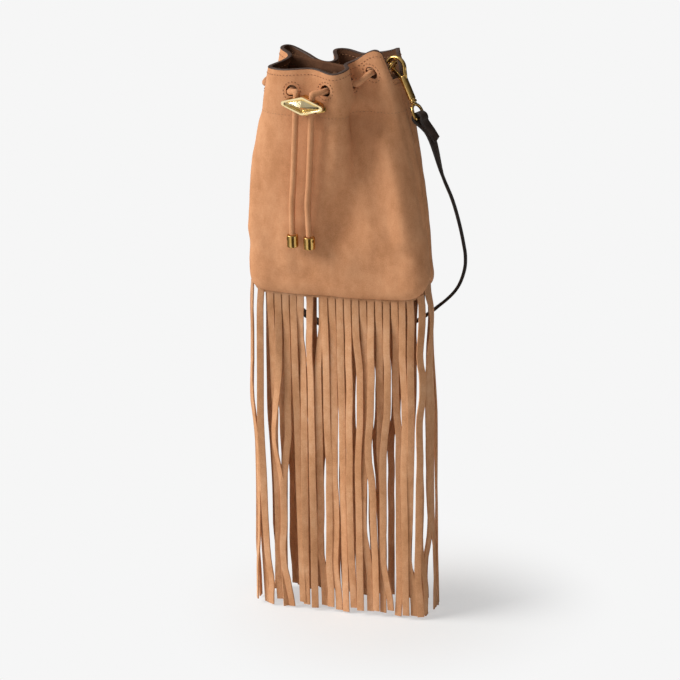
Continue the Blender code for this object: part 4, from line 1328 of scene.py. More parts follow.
def plated(name, code, deep, low, high):
    """Polished plating in two close tones, with roughness from low to high."""
    made, tree, shader = blank(name)
    cloud = at_size(tree, 3 * MM, 3)
    scratch = at_size(tree, 0.35 * MM, 2, 0.6, (1, 1, 0.08))
    value = blend_of(tree, [(cloud, 0.7), (scratch, 0.3)])
    surface(tree, shader, (cloud, [(0.3, deep), (0.7, code)]), (value, low, high),
            (scratch, SCRATCH_DEPTH, 0.4), spread=(0.3, 0.7))
    shader.inputs["Metallic"].default_value = 1.0
    return made


GOLD = plated("polished_gold_plate", "#dcb673", "#c9a35c", 0.17, 0.28)
PALE_GOLD = plated("pale_gold_plate", "#fbeabf", "#f5dda6", 0.13, 0.2)
print("metals:", GOLD.name, PALE_GOLD.name)

# %% [markdown]
# ## Turned and flat metal parts
# Barrels, caps and pins are turned, so a profile is spun round an axis. Levers and plates
# are flat outlines given a thickness, with every edge broken by a small bevel, because a
# real edge always catches a thin line of light.

# %% Helpers for metal shapes
def eased(points, radius, steps=3, closed=False):
    """Round the corners of a flat outline."""
    pts = [np.array(p, float) for p in points]
    out = []
    for i, p in enumerate(pts):
        if not closed and i in (0, len(pts) - 1):
            out.append(p)
            continue
        a, b = pts[i - 1] - p, pts[(i + 1) % len(pts)] - p
        a *= min(radius / np.linalg.norm(a), 0.45)
        b *= min(radius / np.linalg.norm(b), 0.45)
        for s in np.linspace(0, 1, steps + 1):
            out.append(p + a * (1 - s) ** 2 + b * s ** 2)
    return out


def loops_mesh(loops, ends=True):
    """Faces between loops of points, with flat ends, turned outward."""
    count = len(loops[0])
    points = [p for loop in loops for p in loop]
    faces = [(i * count + j, i * count + (j + 1) % count, (i + 1) * count + (j + 1) % count,
              (i + 1) * count + j) for i in range(len(loops) - 1) for j in range(count)]
    if ends:
        faces.append(tuple(range(count)))
        faces.append(tuple((len(loops) - 1) * count + j for j in range(count)))
    mesh = mesh_of(points, faces)
    work = bmesh.new()
    work.from_mesh(mesh)
    bmesh.ops.recalc_face_normals(work, faces=work.faces)
    work.to_mesh(mesh)
    work.free()
    return mesh


def lathe(name, profile, place, look, sides=48, axis="Z"):
    """Spin a profile of (radius, height) round an axis."""
    loops = []
    for radius, height in profile:
        ring_points = [(radius * cos(a), radius * sin(a), height) for a in
                       (2 * pi * j / sides for j in range(sides))]
        loops.append([(x, z, y) if axis == "Y" else (x, y, z) for x, y, z in ring_points])
    mesh = loops_mesh(loops)
    mesh.transform(place)
    return new_object(name, mesh, look, 35)


def plate(name, outline, low, high, place, look, edge=0.25 * MM):
    """A flat outline of (x, z) given a thickness along Y, with bevelled edges."""
    mesh = loops_mesh([[(x, y, z) for x, z in outline] for y in (low, high)])
    mesh.transform(place)
    made = new_object(name, mesh, look, 35)
    if edge:
        bevel_edges(made, edge)
    return made


print("metal parts are turned, cut from plate or bent from wire")

# %% [markdown]
# ## Bores and broken edges
# A bore or a slot is cut with a boolean, which works cleanly on closed metal parts. Edges
# are bevelled after the cuts, and weighted normals keep the flats flat beside them.

# %% Helpers that finish metal
def bevel_edges(made, width, segments=2):
    """Break a metal part's sharp edges."""
    step = made.modifiers.new("bevel", "BEVEL")
    step.width = width
    step.segments = segments
    step.limit_method = "ANGLE"
    step.angle_limit = radians(32)
    level_out = made.modifiers.new("normals", "WEIGHTED_NORMAL")
    level_out.keep_sharp = True
    made.data.shade_smooth()
    return plain(made)


def cut(target, *cutters):
    """Take the cutters away from a metal part."""
    for cutter in cutters:
        step = target.modifiers.new("cut", "BOOLEAN")
        step.operation = "DIFFERENCE"
        step.object = cutter
    plain(target)
    for cutter in cutters:
        bpy.data.objects.remove(cutter, do_unlink=True)
    return target


print("cuts come first, then bevels")

# %% [markdown]
# ## The slider
# A long diamond plate with a raised rim and a low four-sided point is screwed to a
# block that the two tails run through. The rim is a bevelled frame; the point's facets
# stay flat, so that each mirrors another part of the room.

# %% Slider face
FACE_WIDTH = 36 * MM
FACE_HEIGHT = 15.6 * MM
FACE_THICK = 2.2 * MM
FACE_RIM = 1.9 * MM
FACE_RECESS = 1.5 * MM
FACE_POINT = 2.8 * MM
POINT_SHARE = 0.02  # the point is a tiny diamond, so that it has no needle's tip
FACE_EDGE = 0.35 * MM
BLOCK_DEPTH = 7.0 * MM


def diamond(share, inset=0.0, drop=0.0):
    """Long diamond with blunt side tips, as (x, z) points."""
    w, h = FACE_WIDTH / 2 * share - inset * 1.5, FACE_HEIGHT / 2 * share - inset
    side = [(w * 0.93, h * 0.27), (w, h * 0.13), (w, -h * 0.13), (w * 0.93, -h * 0.27)]
    top = [(-h * 0.1, h), (h * 0.1, h)]
    loop = side + [(-x, -z) for x, z in top] + [(-x, -z) for x, z in side] + top
    return [(x, z - drop) for x, z in loop]


place = slider_frame()
front = -BLOCK_DEPTH / 2 - GAP
face_y = front - FACE_THICK
sections = [  # how far the outline is drawn in, and its depth: round the rim to the pit
    (FACE_EDGE * 0.5, front), (0, front - FACE_EDGE * 0.5), (0, face_y + FACE_EDGE),
    (FACE_EDGE * 0.3, face_y + FACE_EDGE * 0.25), (FACE_EDGE * 0.8, face_y),
    (FACE_RIM - FACE_EDGE * 0.6, face_y), (FACE_RIM, face_y + FACE_EDGE * 0.4),
    (FACE_RIM + 0.15 * MM, face_y + FACE_RECESS), (FACE_RIM + 0.5 * MM, face_y + FACE_RECESS),
]
loops = [[(x, y, z) for x, z in diamond(1, inset)] for inset, y in sections]
loops.append([(x * POINT_SHARE, face_y - FACE_POINT, z * POINT_SHARE)
              for x, z in diamond(1, FACE_RIM)])
mesh = loops_mesh(loops)
mesh.transform(place)
slider_face = new_object("slider_diamond_face", mesh, PALE_GOLD, 12)
stand_in(slider_face, "pale_gold", "slider_face")

# %% [markdown]
# ## The slider's block
# Behind the face a smaller diamond block has two bored channels, one for each tail, and a
# thin plate closes its back a little lower. The block is cut first and its edges are
# broken afterwards, so that the rims of the channels are broken too.

# %% Slider block
BLOCK_SHARE = 0.9
PLATE_THICK = 1.4 * MM
PLATE_DROP = 3.6 * MM
PLATE_EDGE = 0.3 * MM
CHANNEL = CORD_RADIUS + 0.4 * MM

back = BLOCK_DEPTH / 2
block = plate("block", diamond(BLOCK_SHARE), -back, back, place, GOLD, 0)
foot = plate("foot", diamond(1, 0, PLATE_DROP), back, back + PLATE_THICK, place, GOLD,
             PLATE_EDGE)
bores = [lathe("bore", [(CHANNEL, -FACE_HEIGHT), (CHANNEL, FACE_HEIGHT)],
               place @ Matrix.Translation((side * SLIDER_PITCH, 0, 0)), None, 32)
         for side in (-1, 1)]
cut(block, *bores)
bevel_edges(block, PLATE_EDGE)
slider_block = join("slider_block", [block, foot], GOLD)
stand_in(slider_block, "gold", "slider_body")

# %% [markdown]
# ## End caps
# Each tail ends in a small turned cap, held by a grub screw. A groove under the lip and
# the screw's dark socket are what the eye finds on it.

# %% Caps on the cord's ends
CAP_RADIUS = 4.9 * MM
CAP_LENGTH = 10.4 * MM
CAP_SCREW = 1.15 * MM

for name, node, end_point, turned_by in (
        ("cord_cap_left", "cord_end_left", TAIL_LEFT_LOW[0], -52),
        ("cord_cap_right", "cord_end_right", TAIL_RIGHT_LOW[-1], 60)):
    cap_top = Matrix.Translation(Vector(end_point) * MM - Vector((0, 0, GAP)))
    profile = eased([(2.9 * MM, -0.9 * MM), (3.5 * MM, 0), (CAP_RADIUS - 0.1 * MM, 0),
                     (CAP_RADIUS, -1.2 * MM), (CAP_RADIUS, 1.0 * MM - CAP_LENGTH),
                     (CAP_RADIUS - 0.3 * MM, -CAP_LENGTH), (CAP_RADIUS - 1.6 * MM, -CAP_LENGTH),
                     (CAP_RADIUS - 2.0 * MM, 0.4 * MM - CAP_LENGTH)], 0.5 * MM)
    cap = lathe(name, profile, cap_top, GOLD, 64)
    away = Matrix.Rotation(radians(turned_by), 4, "Z")
    socket = lathe("socket", [(CAP_SCREW, 3.4 * MM), (CAP_SCREW, 8 * MM)],
                   cap_top @ Matrix.Translation((0, 0, -2.9 * MM)) @ away
                   @ Matrix.Rotation(radians(90), 4, "X"), None, 24)
    cut(cap, socket)
    cap = join(name, [cap], GOLD)
    stand_in(cap, "gold", node)

# %% [markdown]
# ## Clips, swivels and rings
# Each clip is a barrel with a hook bent from it, a sprung lever that closes the hook, a
# pin that the lever turns on, and an eye that swivels in the barrel's foot. The frame
# gives a matrix for each of them, so every part is drawn once, in its own upright space,
# and placed twice.

# %% Sizes of the clips
CLIP_TILT = {"right": radians(26), "left": radians(10)}
BARREL_RADIUS = 3.15 * MM
BARREL_LENGTH = 19.5 * MM
HUB_HEIGHT = 4.4 * MM
GROOVE_DEPTH = 0.6 * MM
BOW_X = -3.0 * MM
BOW_Z = 12.9 * MM
BOW_RADIUS = 8.4 * MM
BOW_WIRE = 1.75 * MM
GATE_PIVOT = Vector((-1.9, 0, 2.3)) * MM
GATE_WIDTH = 2.4 * MM
GATE_SLOT = 0.3 * MM
PIN_RADIUS = 0.6 * MM
PIN_REACH = 2.7 * MM
PIN_BORE = PIN_RADIUS + 0.05 * MM
EYE_WIRE = 1.3 * MM
EYE_HALF = 6.5 * MM
EYE_DROP = 13.6 * MM
EYE_COLLAR = 2 * MM
EYE_CORNER = 2.5 * MM
STEM_RADIUS = 1.2 * MM
STEM_LENGTH = 6 * MM
RING_WIRE = 1.1 * MM
RING_HALF = 4.1 * MM
RING_TALL = 13 * MM
RING_CORNER = 1.2 * MM
RING_LEAN = {"right": radians(29), "left": radians(122)}
RING_PLAY = 0.5 * MM
RING_OFF_CENTRE = 1 * MM
RING_IN = 1.4 * MM
RING_RISE = 11.3 * MM
TAB_WIDTH = 5.2 * MM
TAB_LEATHER = 1.2 * MM
TAB_LENGTH = 16 * MM
TAB_GAP = 0.5 * MM
TAB_PRESSED = 0.7 * MM  # the stitches pull the outer tab into the suede
TAB_HEAD = RING_WIRE + GAP + TAB_LEATHER
LEFT_TAB_Z = -2 * MM
print("a clip is", round((BARREL_LENGTH + BOW_Z + BOW_RADIUS + BOW_WIRE) / MM, 1), "mm long")

# %% Frames of the clips
def seam_frame(side):
    """Frame of the side seam where a tab is sewn: X outward, Z up."""
    return wall_frame_at(CLIP_PLACES[side], CLIP_Z if side == "right" else LEFT_TAB_Z)


def ring_frame(side):
    """Frame of a ring: origin on its free bar, Z from the bar in the tab towards it."""
    lean = Matrix.Rotation(RING_LEAN[side], 4, "Y")
    if side == "right":
        return seam_frame(side) @ Matrix.Translation((-RING_IN, 0, RING_RISE)) @ lean
    sewn_on = Matrix.Translation((TAB_HEAD + TAB_GAP, 0, 0))
    return seam_frame(side) @ sewn_on @ lean @ Matrix.Translation((0, 0, RING_TALL))


def clip_frame(side):
    """Frame of a clip hung on its ring: origin on the barrel's top, Z towards the bow."""
    wall = seam_frame(side)
    bar = (wall.inverted() @ ring_frame(side)).translation
    inner_radius = BOW_RADIUS - BOW_WIRE - RING_PLAY - RING_WIRE
    drop = (inner_radius ** 2 - RING_OFF_CENTRE ** 2) ** 0.5
    bow = bar + Vector((RING_OFF_CENTRE, 0, -drop))
    tilt = Matrix.Rotation(-CLIP_TILT[side], 4, "Y")
    return wall @ Matrix.Translation(bow) @ tilt @ Matrix.Translation((-BOW_X, 0, -BOW_Z))


def wire(name, path, radius, place, square, look, closed=False):
    """Round wire along a flat path; square is the direction square to its plane."""
    run = [place @ Vector(p) for p in path]
    facings = [tuple(place.to_3x3() @ Vector(square))] * len(run)
    return sweep(name, [run], facings, 2 * radius, 2 * radius, radius, look, closed)


print("right clip at", [round(v / MM, 1) for v in clip_frame("right").translation], "mm")

# %% [markdown]
# ## Barrel and bow
# The hook is a turned barrel with a groove for the thumb and a bow bent from round wire
# that grows out of its head. A slot for the lever and a bore for its pin are cut before
# the bow joins it, which keeps the cuts clean.

# %% Barrel and bow
NECK = [(0.9 * MM, 0, 0.5 * MM), (2.2 * MM, 0, 3.0 * MM), (3.0 * MM, 0, 4.9 * MM)]
BOW_ARC = [(BOW_X + BOW_RADIUS * cos(a), 0, BOW_Z + BOW_RADIUS * sin(a))
           for a in (radians(d) for d in range(-30, 131, 5))]
BOW_PATH = round_path(NECK + BOW_ARC, False, 3)


def gate_frame(side):
    """Frame of the lever, with its origin on the pin."""
    return clip_frame(side) @ Matrix.Translation(GATE_PIVOT)


def make_hook(side):
    """Barrel with its groove, slot and bore, and the bow on top."""
    place = clip_frame(side)
    low, r = -BARREL_LENGTH, BARREL_RADIUS
    stem_bore = STEM_RADIUS + GAP
    profile = eased([(stem_bore, low + STEM_LENGTH + GAP), (stem_bore, low), (r - 0.5 * MM, low),
                     (r, low + 0.5 * MM), (r, low + 2 * MM),
                     (r - GROOVE_DEPTH, low + 2.3 * MM), (r - GROOVE_DEPTH, low + 2.9 * MM),
                     (r, low + 3.2 * MM), (r, HUB_HEIGHT - 0.7 * MM), (r - 0.7 * MM, HUB_HEIGHT),
                     (0.05 * MM, HUB_HEIGHT)], 0.35 * MM)
    barrel = lathe("barrel", profile, place, GOLD, 48)
    slot_half = GATE_WIDTH / 2 + GATE_SLOT
    x0, x1 = -r - MM, GATE_PIVOT.x + 2.1 * MM
    z0, z1 = GATE_PIVOT.z - 2.2 * MM, HUB_HEIGHT + MM
    slot = plate("slot", [(x0, z0), (x1, z0), (x1, z1), (x0, z1)], -slot_half, slot_half, place,
                 None, 0)
    bore = lathe("bore", [(PIN_BORE, -2 * r), (PIN_BORE, 2 * r)], gate_frame(side), None, 24, "Y")
    cut(barrel, slot, bore)
    bow = wire("bow", BOW_PATH, BOW_WIRE, place, (0, 1, 0), GOLD)
    stand_in(join(side + "_clip_hook", [barrel, bow], GOLD), "gold", side + "_hook_body")


print("the bow reaches", round(max(p.z for p in BOW_PATH) / MM, 1), "mm above the barrel")

# %% [markdown]
# ## Pin and lever
# The lever closes the bow. It is flat, round where it turns on its pin and narrower at the
# tip, which stops just short of the bow's end. The pin is drawn a little thinner than its
# bore, as a real one has to be.

# %% Pin and lever
GATE_ROUND = 1.7 * MM
GATE_HALF = 1.15 * MM
GATE_TIP_HALF = 0.7 * MM
GATE_TIP_CLEAR = 0.5 * MM
GATE_EDGE = 0.3 * MM
PIN_TIP = 0.1 * MM
PIN_EASE = 0.15 * MM


def make_pin(side):
    """Pin across the barrel's head."""
    profile = eased([(PIN_TIP, -PIN_REACH), (PIN_RADIUS, -PIN_REACH), (PIN_RADIUS, PIN_REACH),
                     (PIN_TIP, PIN_REACH)], PIN_EASE)
    pin = lathe(side + "_clip_pin", profile, gate_frame(side), GOLD, 24, "Y")
    stand_in(pin, "gold", side + "_gate_pin")


def make_lever(side):
    """Lever from the pin to just short of the bow's end."""
    pivot, r = gate_frame(side), BARREL_RADIUS
    tip = Vector(BOW_PATH[-1]) - GATE_PIVOT
    length = tip.length - BOW_WIRE - GATE_TIP_CLEAR
    along = tip.normalized()
    across = Vector((along.z, 0, -along.x))
    outline = [-along * GATE_ROUND * cos(a) + across * GATE_ROUND * sin(a)
               for a in (radians(d) for d in range(-80, 81, 10))]
    outline += [along * (length - MM) + across * GATE_HALF, along * length + across * GATE_TIP_HALF,
                along * length - across * GATE_TIP_HALF, along * (length - MM) - across * GATE_HALF]
    gate = plate("gate", [(p.x, p.z) for p in outline], -GATE_WIDTH / 2, GATE_WIDTH / 2, pivot,
                 GOLD, 0)
    cut(gate, lathe("bore", [(PIN_BORE, -r), (PIN_BORE, r)], pivot, None, 24, "Y"))
    bevel_edges(gate, GATE_EDGE)
    stand_in(join(side + "_clip_lever", [gate], GOLD), "gold", side + "_hook_gate")


print("the lever is", round(GATE_WIDTH / MM, 1), "mm wide")

# %% [markdown]
# ## Swivel eye and ring
# Both are wire bent to a D: a half circle on top and a straight bar below, where leather
# holds it. The eye also has a turned collar and a stem that turns in the barrel's foot.

# %% Eyes and rings, and both clips
COLLAR_RADIUS = BARREL_RADIUS - 0.8 * MM


def d_path(half, arc_z, depth, corner):
    """A D in the plane x = 0: half circle on top, rounded corners at the bar below."""
    path = [(0, half * cos(a), arc_z + half * sin(a))
            for a in (radians(d) for d in range(0, 181, 10))]
    bend = [(0, -half + corner * (1 - cos(a)), -depth + corner * (1 - sin(a)))
            for a in (radians(d) for d in range(0, 91, 15))]
    return path + bend + [(x, -y, z) for x, y, z in bend[::-1]]


def make_eye(side):
    """Eye that holds the strap, with its collar and the stem in the barrel's foot."""
    foot = clip_frame(side) @ Matrix.Translation((0, 0, -BARREL_LENGTH - GAP))
    path = d_path(EYE_HALF, EYE_WIRE / 2 - EYE_COLLAR - EYE_HALF, EYE_DROP - GAP, EYE_CORNER)
    eye_wire = wire("eye", path, EYE_WIRE, foot, (1, 0, 0), GOLD, True)
    r, low = COLLAR_RADIUS, -EYE_COLLAR
    profile = eased([(0.1 * MM, low - 0.2 * MM), (r - 0.4 * MM, low - 0.2 * MM),
                     (r, low + 0.4 * MM), (r, 0), (STEM_RADIUS, 0), (STEM_RADIUS, STEM_LENGTH),
                     (0.1 * MM, STEM_LENGTH)], 0.3 * MM)
    stem = lathe("stem", profile, foot, GOLD, 40)
    stand_in(join(side + "_clip_eye", [eye_wire, stem], GOLD), "gold", side + "_swivel_eye")


def make_ring(side):
    """Ring between a hook and its tab."""
    path = d_path(RING_HALF, -RING_HALF, RING_TALL, RING_CORNER)
    ring_piece = wire(side + "_seam_ring", path, RING_WIRE, ring_frame(side), (1, 0, 0), GOLD, True)
    stand_in(ring_piece, "gold", side + "_d_ring")


for side in CLIP_PLACES:
    for make in (make_hook, make_pin, make_lever, make_eye, make_ring):
        make(side)

# %% [markdown]
# ## Tabs that hold the rings
# A short strip of suede is folded round each ring's straight bar and sewn to the wall: the
# right one inside the mouth, the left one outside. It is a flat outline seen from the
# side, with a head that wraps the bar, and its flat side follows the wall's face.

# %% Folded tabs
TAB_EDGE = 0.25 * MM
TAB_BORE = RING_WIRE + 0.15 * MM
TAB_LEVELS = (1, 0.8, 0.6, 0.45, 0.3)


def face_x(side, bar, inset, height):
    """How far the wall's face stands out from the ring's bar, at a height above it."""
    wall = seam_frame(side)
    u, level_z = CLIP_PLACES[side], wall.translation.z + bar.z + height
    at, out = plan(u, level_z)
    at = at - out * (inset - relief(np.array([u]), np.array([level_z]))[0])
    return (wall.inverted() @ Vector((float(at.real), float(at.imag), level_z))).x - bar.x


for side in CLIP_PLACES:
    wall = seam_frame(side)
    bar = wall.inverted() @ ring_frame(side) @ Vector((0, 0, -RING_TALL))
    place = wall @ Matrix.Translation(bar)
    inside = side == "right"
    away = -1 if inside else 1
    inset = HEM + FACING + TAB_GAP if inside else TAB_PRESSED
    arc = [(TAB_HEAD * cos(a), -away * TAB_HEAD * sin(a)) for a in
           (radians(d) for d in range(0, 181, 10))]
    heights = [away * TAB_LENGTH * s for s in TAB_LEVELS]
    strip = [(face_x(side, bar, inset, h), h) for h in heights]
    back_side = [(x + away * 2 * TAB_LEATHER, h) for x, h in strip]
    outline = arc + (back_side[::-1] + strip[:4] if inside else strip[::-1] + back_side[:4])
    tab = plate("tab", outline, -TAB_WIDTH / 2, TAB_WIDTH / 2, place, BUFFED_SUEDE, 0)
    cut(tab, lathe("bore", [(TAB_BORE, -TAB_WIDTH), (TAB_BORE, TAB_WIDTH)], place, None, 32, "Y"))
    bevel_edges(tab, TAB_EDGE)
    stand_in(join(side + "_ring_tab", [tab], BUFFED_SUEDE), "suede", side + "_d_ring_tab")

# %% [markdown]
# ## Strap
# The strap is two layers of calf glued back to back, with painted edges, so it shows a
# grained face and a smooth black side. The grain is a net of cells with raised middles,
# and a slow cloud lightens the leather where it has been bent.

# %% Strap leather
GRAIN_CELL = 0.9 * MM
GRAIN_RELIEF = 0.12 * MM
BENT_SIZE = 9 * MM


def calf(name, dark, light):
    """Chrome-tanned calf: fine pebbled cells, satin, paler where it has been bent."""
    made, tree, shader = blank(name)
    spot = add(tree, "ShaderNodeTexCoord").outputs["Object"]
    cells = add(tree, "ShaderNodeTexVoronoi", {"Vector": spot, "Scale": 1 / GRAIN_CELL},
                feature="DISTANCE_TO_EDGE").outputs["Distance"]
    cloud = at_size(tree, BENT_SIZE, 4, 0.6)
    value = blend_of(tree, [(cells, 0.35), (cloud, 0.75)])
    surface(tree, shader, (value, [(0.3, dark), (0.62, light)]), (cloud, 0.42, 0.62),
            (cells, GRAIN_RELIEF, 0.6))
    return made


CALF = calf("pebbled_calf", "#33261f", "#4d3c33")
STRAP_PAINT = edge_paint("black_edge_paint", "#1c1614", "#2a211d", 0.42)
print("strap finishes:", CALF.name, STRAP_PAINT.name)

# %% [markdown]
# ## The strap's route
# Each end goes round its eye's bar as a teardrop and comes back on itself as a short flap.
# Between the two necks the strap hangs in one arc behind the bag. Its points are listed:
# the right ones come from the picture, the left ones don't.

# %% Lay the strap
STRAP_WIDTH = 9.6 * MM
STRAP_THICK = 2.6 * MM
STRAP_TURN_Z = -44 * MM
STRAP_TURNED_Z = -82 * MM
LOOP_RADIUS = 4.2 * MM
LOOP_NECK = 15 * MM
LOOP_FLAP = 8 * MM
STRAP_RIGHT = [
    (79, 11, -46), (86.4, 12, -77), (93.6, 15.5, -98.3), (98.2, 19.5, -119.8),
    (100.8, 22.6, -138), (101.6, 24.6, -149), (99.8, 27.6, -162), (92.2, 31.6, -179.6),
    (77, 35.2, -196),
]
STRAP_BEHIND = [(45, 40, -219), (0, 43, -231), (-42, 44, -221)]
STRAP_LEFT = [
    (-68, 44.5, -198), (-80, 45, -168), (-82, 45.4, -136), (-79, 46, -108), (-74, 47, -78),
]
STRAP_FOLD = STRAP_THICK + GAP


def strap_end(side, towards):
    """Points from the flap's end round the eye's bar to the neck, and the neck's frame."""
    bar = clip_frame(side) @ Vector((0, 0, -BARREL_LENGTH - EYE_DROP))
    out, up = seam_frame(side).to_3x3() @ Vector((1, 0, 0)), Vector((0, 0, 1))
    loop = [bar + (out * cos(a) + up * sin(a)) * LOOP_RADIUS
            for a in (radians(d) for d in range(-20, 201, 22))]
    along = (Vector(towards) * MM - bar).normalized()
    across = (out - along * out.dot(along)).normalized()
    neck = bar + along * LOOP_NECK
    flap = [neck + along * LOOP_FLAP + across * STRAP_FOLD, neck + across * STRAP_FOLD]
    return flap + loop + [neck], (neck, along, across)


right_end, right_flap = strap_end("right", STRAP_RIGHT[0])
left_end, left_flap = strap_end("left", STRAP_LEFT[-1])
between_ends = [Vector(p) * MM for p in STRAP_RIGHT[1:] + STRAP_BEHIND + STRAP_LEFT[:-1]]
path = round_path(right_end + between_ends + left_end[::-1], False, 6)
strap_length = sum((b - a).length for a, b in zip(path, path[1:]))
print("the strap is", round(strap_length, 2), "m long, flaps included")

# %% [markdown]
# ## Turning and sweeping the strap
# At the clips the strap's width follows the eye's bar. Lower down on the right it turns
# until the camera sees it edge-on, as in the picture. A face that looks away from the
# ribbon's facing is a side, and gets the edge paint.

# %% Sweep the strap
STRAP_CORNER = 0.75 * MM
SIDE_BELOW = 0.72  # a face that agrees less than this with the facing is a side
TO_CAMERA = bpy.context.scene.camera.matrix_world.to_3x3() @ Vector((0, 0, 1))
BACKWARD = Vector((0, 1, 0))


def strap_wide(i):
    """Direction of the strap's width at point i of its path, and its tangent."""
    tangent = (path[min(i + 1, len(path) - 1)] - path[max(i - 1, 0)]).normalized()
    side = "right" if i < len(path) / 2 else "left"
    share = (path[i].z - STRAP_TURNED_Z) / (STRAP_TURN_Z - STRAP_TURNED_Z)
    at_clip = seam_frame(side).to_3x3() @ BACKWARD
    below = -TO_CAMERA if side == "right" else BACKWARD
    wide = below.lerp(at_clip * (1 if at_clip.y > 0 else -1), min(max(share, 0), 1))
    return (wide - tangent * wide.dot(tangent)).normalized(), tangent


facings = []
for i in range(len(path)):
    wide, tangent = strap_wide(i)
    facings.append(tuple(tangent.cross(wide)))
strap = sweep("calf_strap", [path], facings, STRAP_THICK, STRAP_WIDTH, STRAP_CORNER, CALF)
strap.data.materials.append(STRAP_PAINT)
ways = np.zeros(len(strap.data.vertices) * 3, np.float32)
strap.data.attributes["facing"].data.foreach_get("vector", ways)
ways = ways.reshape(-1, 3)
for face in strap.data.polygons:
    way = Vector(ways[face.vertices[0]].tolist())
    face.material_index = 0 if abs(face.normal.dot(way)) > SIDE_BELOW else 1
stand_in(strap, "strap_leather", "strap")

# %% [markdown]
# ## Stitches on the strap's flaps
# Each flap is held by two short rows, seen on the flap and on the strap's other face.

# %% Sew the flaps
STRAP_STEP = 2.6 * MM
FLAP_ROW = 3.3 * MM
FLAP_PROUD = 0.1 * MM
ROW_SHARES = (0, 0.25, 0.5, 0.75, 0.95)

DARK_THREAD = thread("waxed_dark_thread", "#2b211c", "#43352d")
faces_at = (-0.5 * STRAP_THICK - FLAP_PROUD, STRAP_FOLD + 0.5 * STRAP_THICK + FLAP_PROUD)
rows = []
for neck, along, across in (right_flap, left_flap):
    wide = along.cross(across).normalized()
    for shift in (-FLAP_ROW, FLAP_ROW):
        for level in faces_at:
            first = neck + wide * shift + across * level
            rows.append([first + along * (LOOP_FLAP * s - MM) for s in ROW_SHARES])
strap_thread = stitch("strap_stitches", rows, False, STRAP_STEP, DARK_THREAD)
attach(strap_thread, "bag")
print("strap stitches:", len(rows), "rows")

# %% [markdown]
# ## Paper floor
# The picture is a catalogue shot: a plain pale floor that runs into the backdrop. Seen by
# the camera the paper glows with its own plain tone, and only near the bag is it real
# paper that takes a shadow. Polished metal needs something to mirror, so rays that come
# from a reflection see darker and brighter panels, all round the bag.

# %% Paper floor
PAPER = "#f6f6f6"
FLOOR_HALF = 9
FLOOR_WHITE = 0.9
FLOOR_UNDER = 2.2 * MM
SHADOW_AT = (0.035, 0.01)
SHADOW_FULL = 60 * MM
SHADOW_GONE = 200 * MM
SHADOW_SHARE = 0.5

floor_z = TIP_Z - FLOOR_UNDER
corners = [(-1, -1), (1, -1), (1, 1), (-1, 1)]
mesh = mesh_of([(x * FLOOR_HALF, y * FLOOR_HALF, floor_z) for x, y in corners], [(0, 1, 2, 3)])
paper, tree, _ = blank("paper_floor")
rays = add(tree, "ShaderNodeLightPath")
seen = add(tree, "ShaderNodeMath", {0: rays.outputs["Is Camera Ray"],
                                    1: rays.outputs["Is Glossy Ray"]}, operation="MAXIMUM")
seen = add(tree, "ShaderNodeMath", {0: seen.outputs[0], 1: rays.outputs["Is Transmission Ray"]},
           operation="MAXIMUM")
spot = add(tree, "ShaderNodeTexCoord").outputs["Object"]
spot = add(tree, "ShaderNodeVectorMath", {0: spot, 1: (*SHADOW_AT, floor_z)},
           operation="SUBTRACT").outputs[0]
away = add(tree, "ShaderNodeVectorMath", {0: spot}, operation="LENGTH").outputs["Value"]
plainness = add(tree, "ShaderNodeMapRange",
                {"Value": away, "From Min": SHADOW_FULL, "From Max": SHADOW_GONE,
                 "To Min": SHADOW_SHARE, "To Max": 1.0},
                interpolation_type="SMOOTHSTEP").outputs[0]
plainness = add(tree, "ShaderNodeMath", {0: plainness, 1: seen.outputs[0]},
                operation="MULTIPLY").outputs[0]
diffuse = add(tree, "ShaderNodeBsdfDiffuse", {"Color": (*[FLOOR_WHITE] * 3, 1)})
level = Vector((TO_CAMERA.x, TO_CAMERA.y, 0)).normalized()
bearing = add(tree, "ShaderNodeVectorMath", {0: spot}, operation="NORMALIZE").outputs[0]
bearing = add(tree, "ShaderNodeVectorMath", {0: bearing, 1: tuple(level)},
              operation="DOT_PRODUCT").outputs["Value"]
panels = add(tree, "ShaderNodeValToRGB", {"Fac": bearing},
             stops=[(0.2, "#8a847e"), (0.55, "#ffffff"), (0.84, "#fffaf0"), (0.93, "#4a4036")])
tint = add(tree, "ShaderNodeMix",
           {"Factor": rays.outputs["Is Glossy Ray"], "A": colour(PAPER),
            "B": panels.outputs["Color"]}, data_type="RGBA")
glow = add(tree, "ShaderNodeEmission", {"Color": tint.outputs["Result"], "Strength": 1.0})
mixed = add(tree, "ShaderNodeMixShader", {"Fac": plainness, 1: diffuse.outputs[0],
                                          2: glow.outputs[0]})
tree.links.new(mixed.outputs[0], tree.nodes["Material Output"].inputs["Surface"])
floor = new_object("paper_floor", mesh, paper)
floor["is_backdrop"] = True
print("the floor is", round((TIP_Z - floor_z) / MM, 1), "mm under the fringe's tips")

# %% [markdown]
# ## Light and room
# One large soft light comes from the upper left, and a room fills the shadows. The sun
# lamp has a wide angle, so it behaves as a big softbox but lights the floor evenly. The
# room is brighter where the lamp is, which gives the metal its shape, and the camera sees
# it as plain paper.

# %% Lamp and room
KEY_LEFT = radians(64)
KEY_HIGH = radians(36)
KEY_STRENGTH = 3.0
KEY_SIZE = radians(34)
KEY_TINT = (1.0, 0.985, 0.96)
ROOM_STRENGTH = 0.46

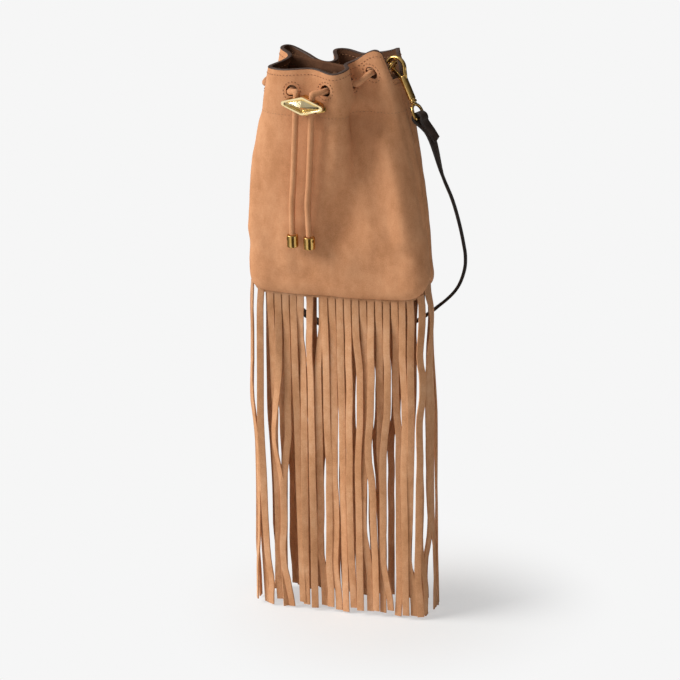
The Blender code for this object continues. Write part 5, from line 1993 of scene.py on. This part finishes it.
lamp = bpy.data.lights.new("soft_key", "SUN")
lamp.energy = KEY_STRENGTH
lamp.angle = KEY_SIZE
lamp.color = KEY_TINT
key = bpy.data.objects.new("soft_key", lamp)
towards = Vector((-sin(KEY_LEFT) * cos(KEY_HIGH), -cos(KEY_LEFT) * cos(KEY_HIGH), sin(KEY_HIGH)))
key.rotation_euler = towards.to_track_quat("Z", "Y").to_euler()
bpy.context.collection.objects.link(key)

room = bpy.data.worlds.new("soft_room")
room.use_nodes = True
tree = room.node_tree
sky = tree.nodes["Background"]
way = add(tree, "ShaderNodeTexCoord").outputs["Generated"]
lit = add(tree, "ShaderNodeVectorMath", {0: way, 1: tuple(towards)}, operation="DOT_PRODUCT")
share = add(tree, "ShaderNodeMapRange", {"Value": lit.outputs["Value"], "From Min": -0.9,
                                         "From Max": 0.9}, interpolation_type="SMOOTHSTEP")
walls = add(tree, "ShaderNodeValToRGB", {"Fac": share.outputs[0]},
            stops=[(0.0, "#37322d"), (0.45, "#8f8983"), (1.0, "#ffffff")]).outputs["Color"]
seen = add(tree, "ShaderNodeLightPath").outputs["Is Camera Ray"]
strength = add(tree, "ShaderNodeMapRange",
               {"Value": seen, "To Min": ROOM_STRENGTH, "To Max": 1.0})
view = add(tree, "ShaderNodeMix", {"Factor": seen, "A": walls, "B": colour(PAPER)},
           data_type="RGBA")
tree.links.new(view.outputs["Result"], sky.inputs["Color"])
tree.links.new(strength.outputs[0], sky.inputs["Strength"])
bpy.context.scene.world = room
bpy.context.scene.view_settings.view_transform = "Standard"
print("the key light stands", round(KEY_HIGH * 180 / pi), "degrees high")

# %% [markdown]
# ## Measure and finish
# Both boxes are printed: the measured bag's, and the dressed one's, where cloth may stand a few
# millimetres proud. The dressed bag has to be as large as the measured one, apart from a few
# millimetres that cloth may stand proud.

VISUAL_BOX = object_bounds()
for label, (a, b) in (("cad", CAD_BOX), ("visual", VISUAL_BOX)):
    print(label, "box in mm:", [round((q - p) / MM, 1) for p, q in zip(a, b)])
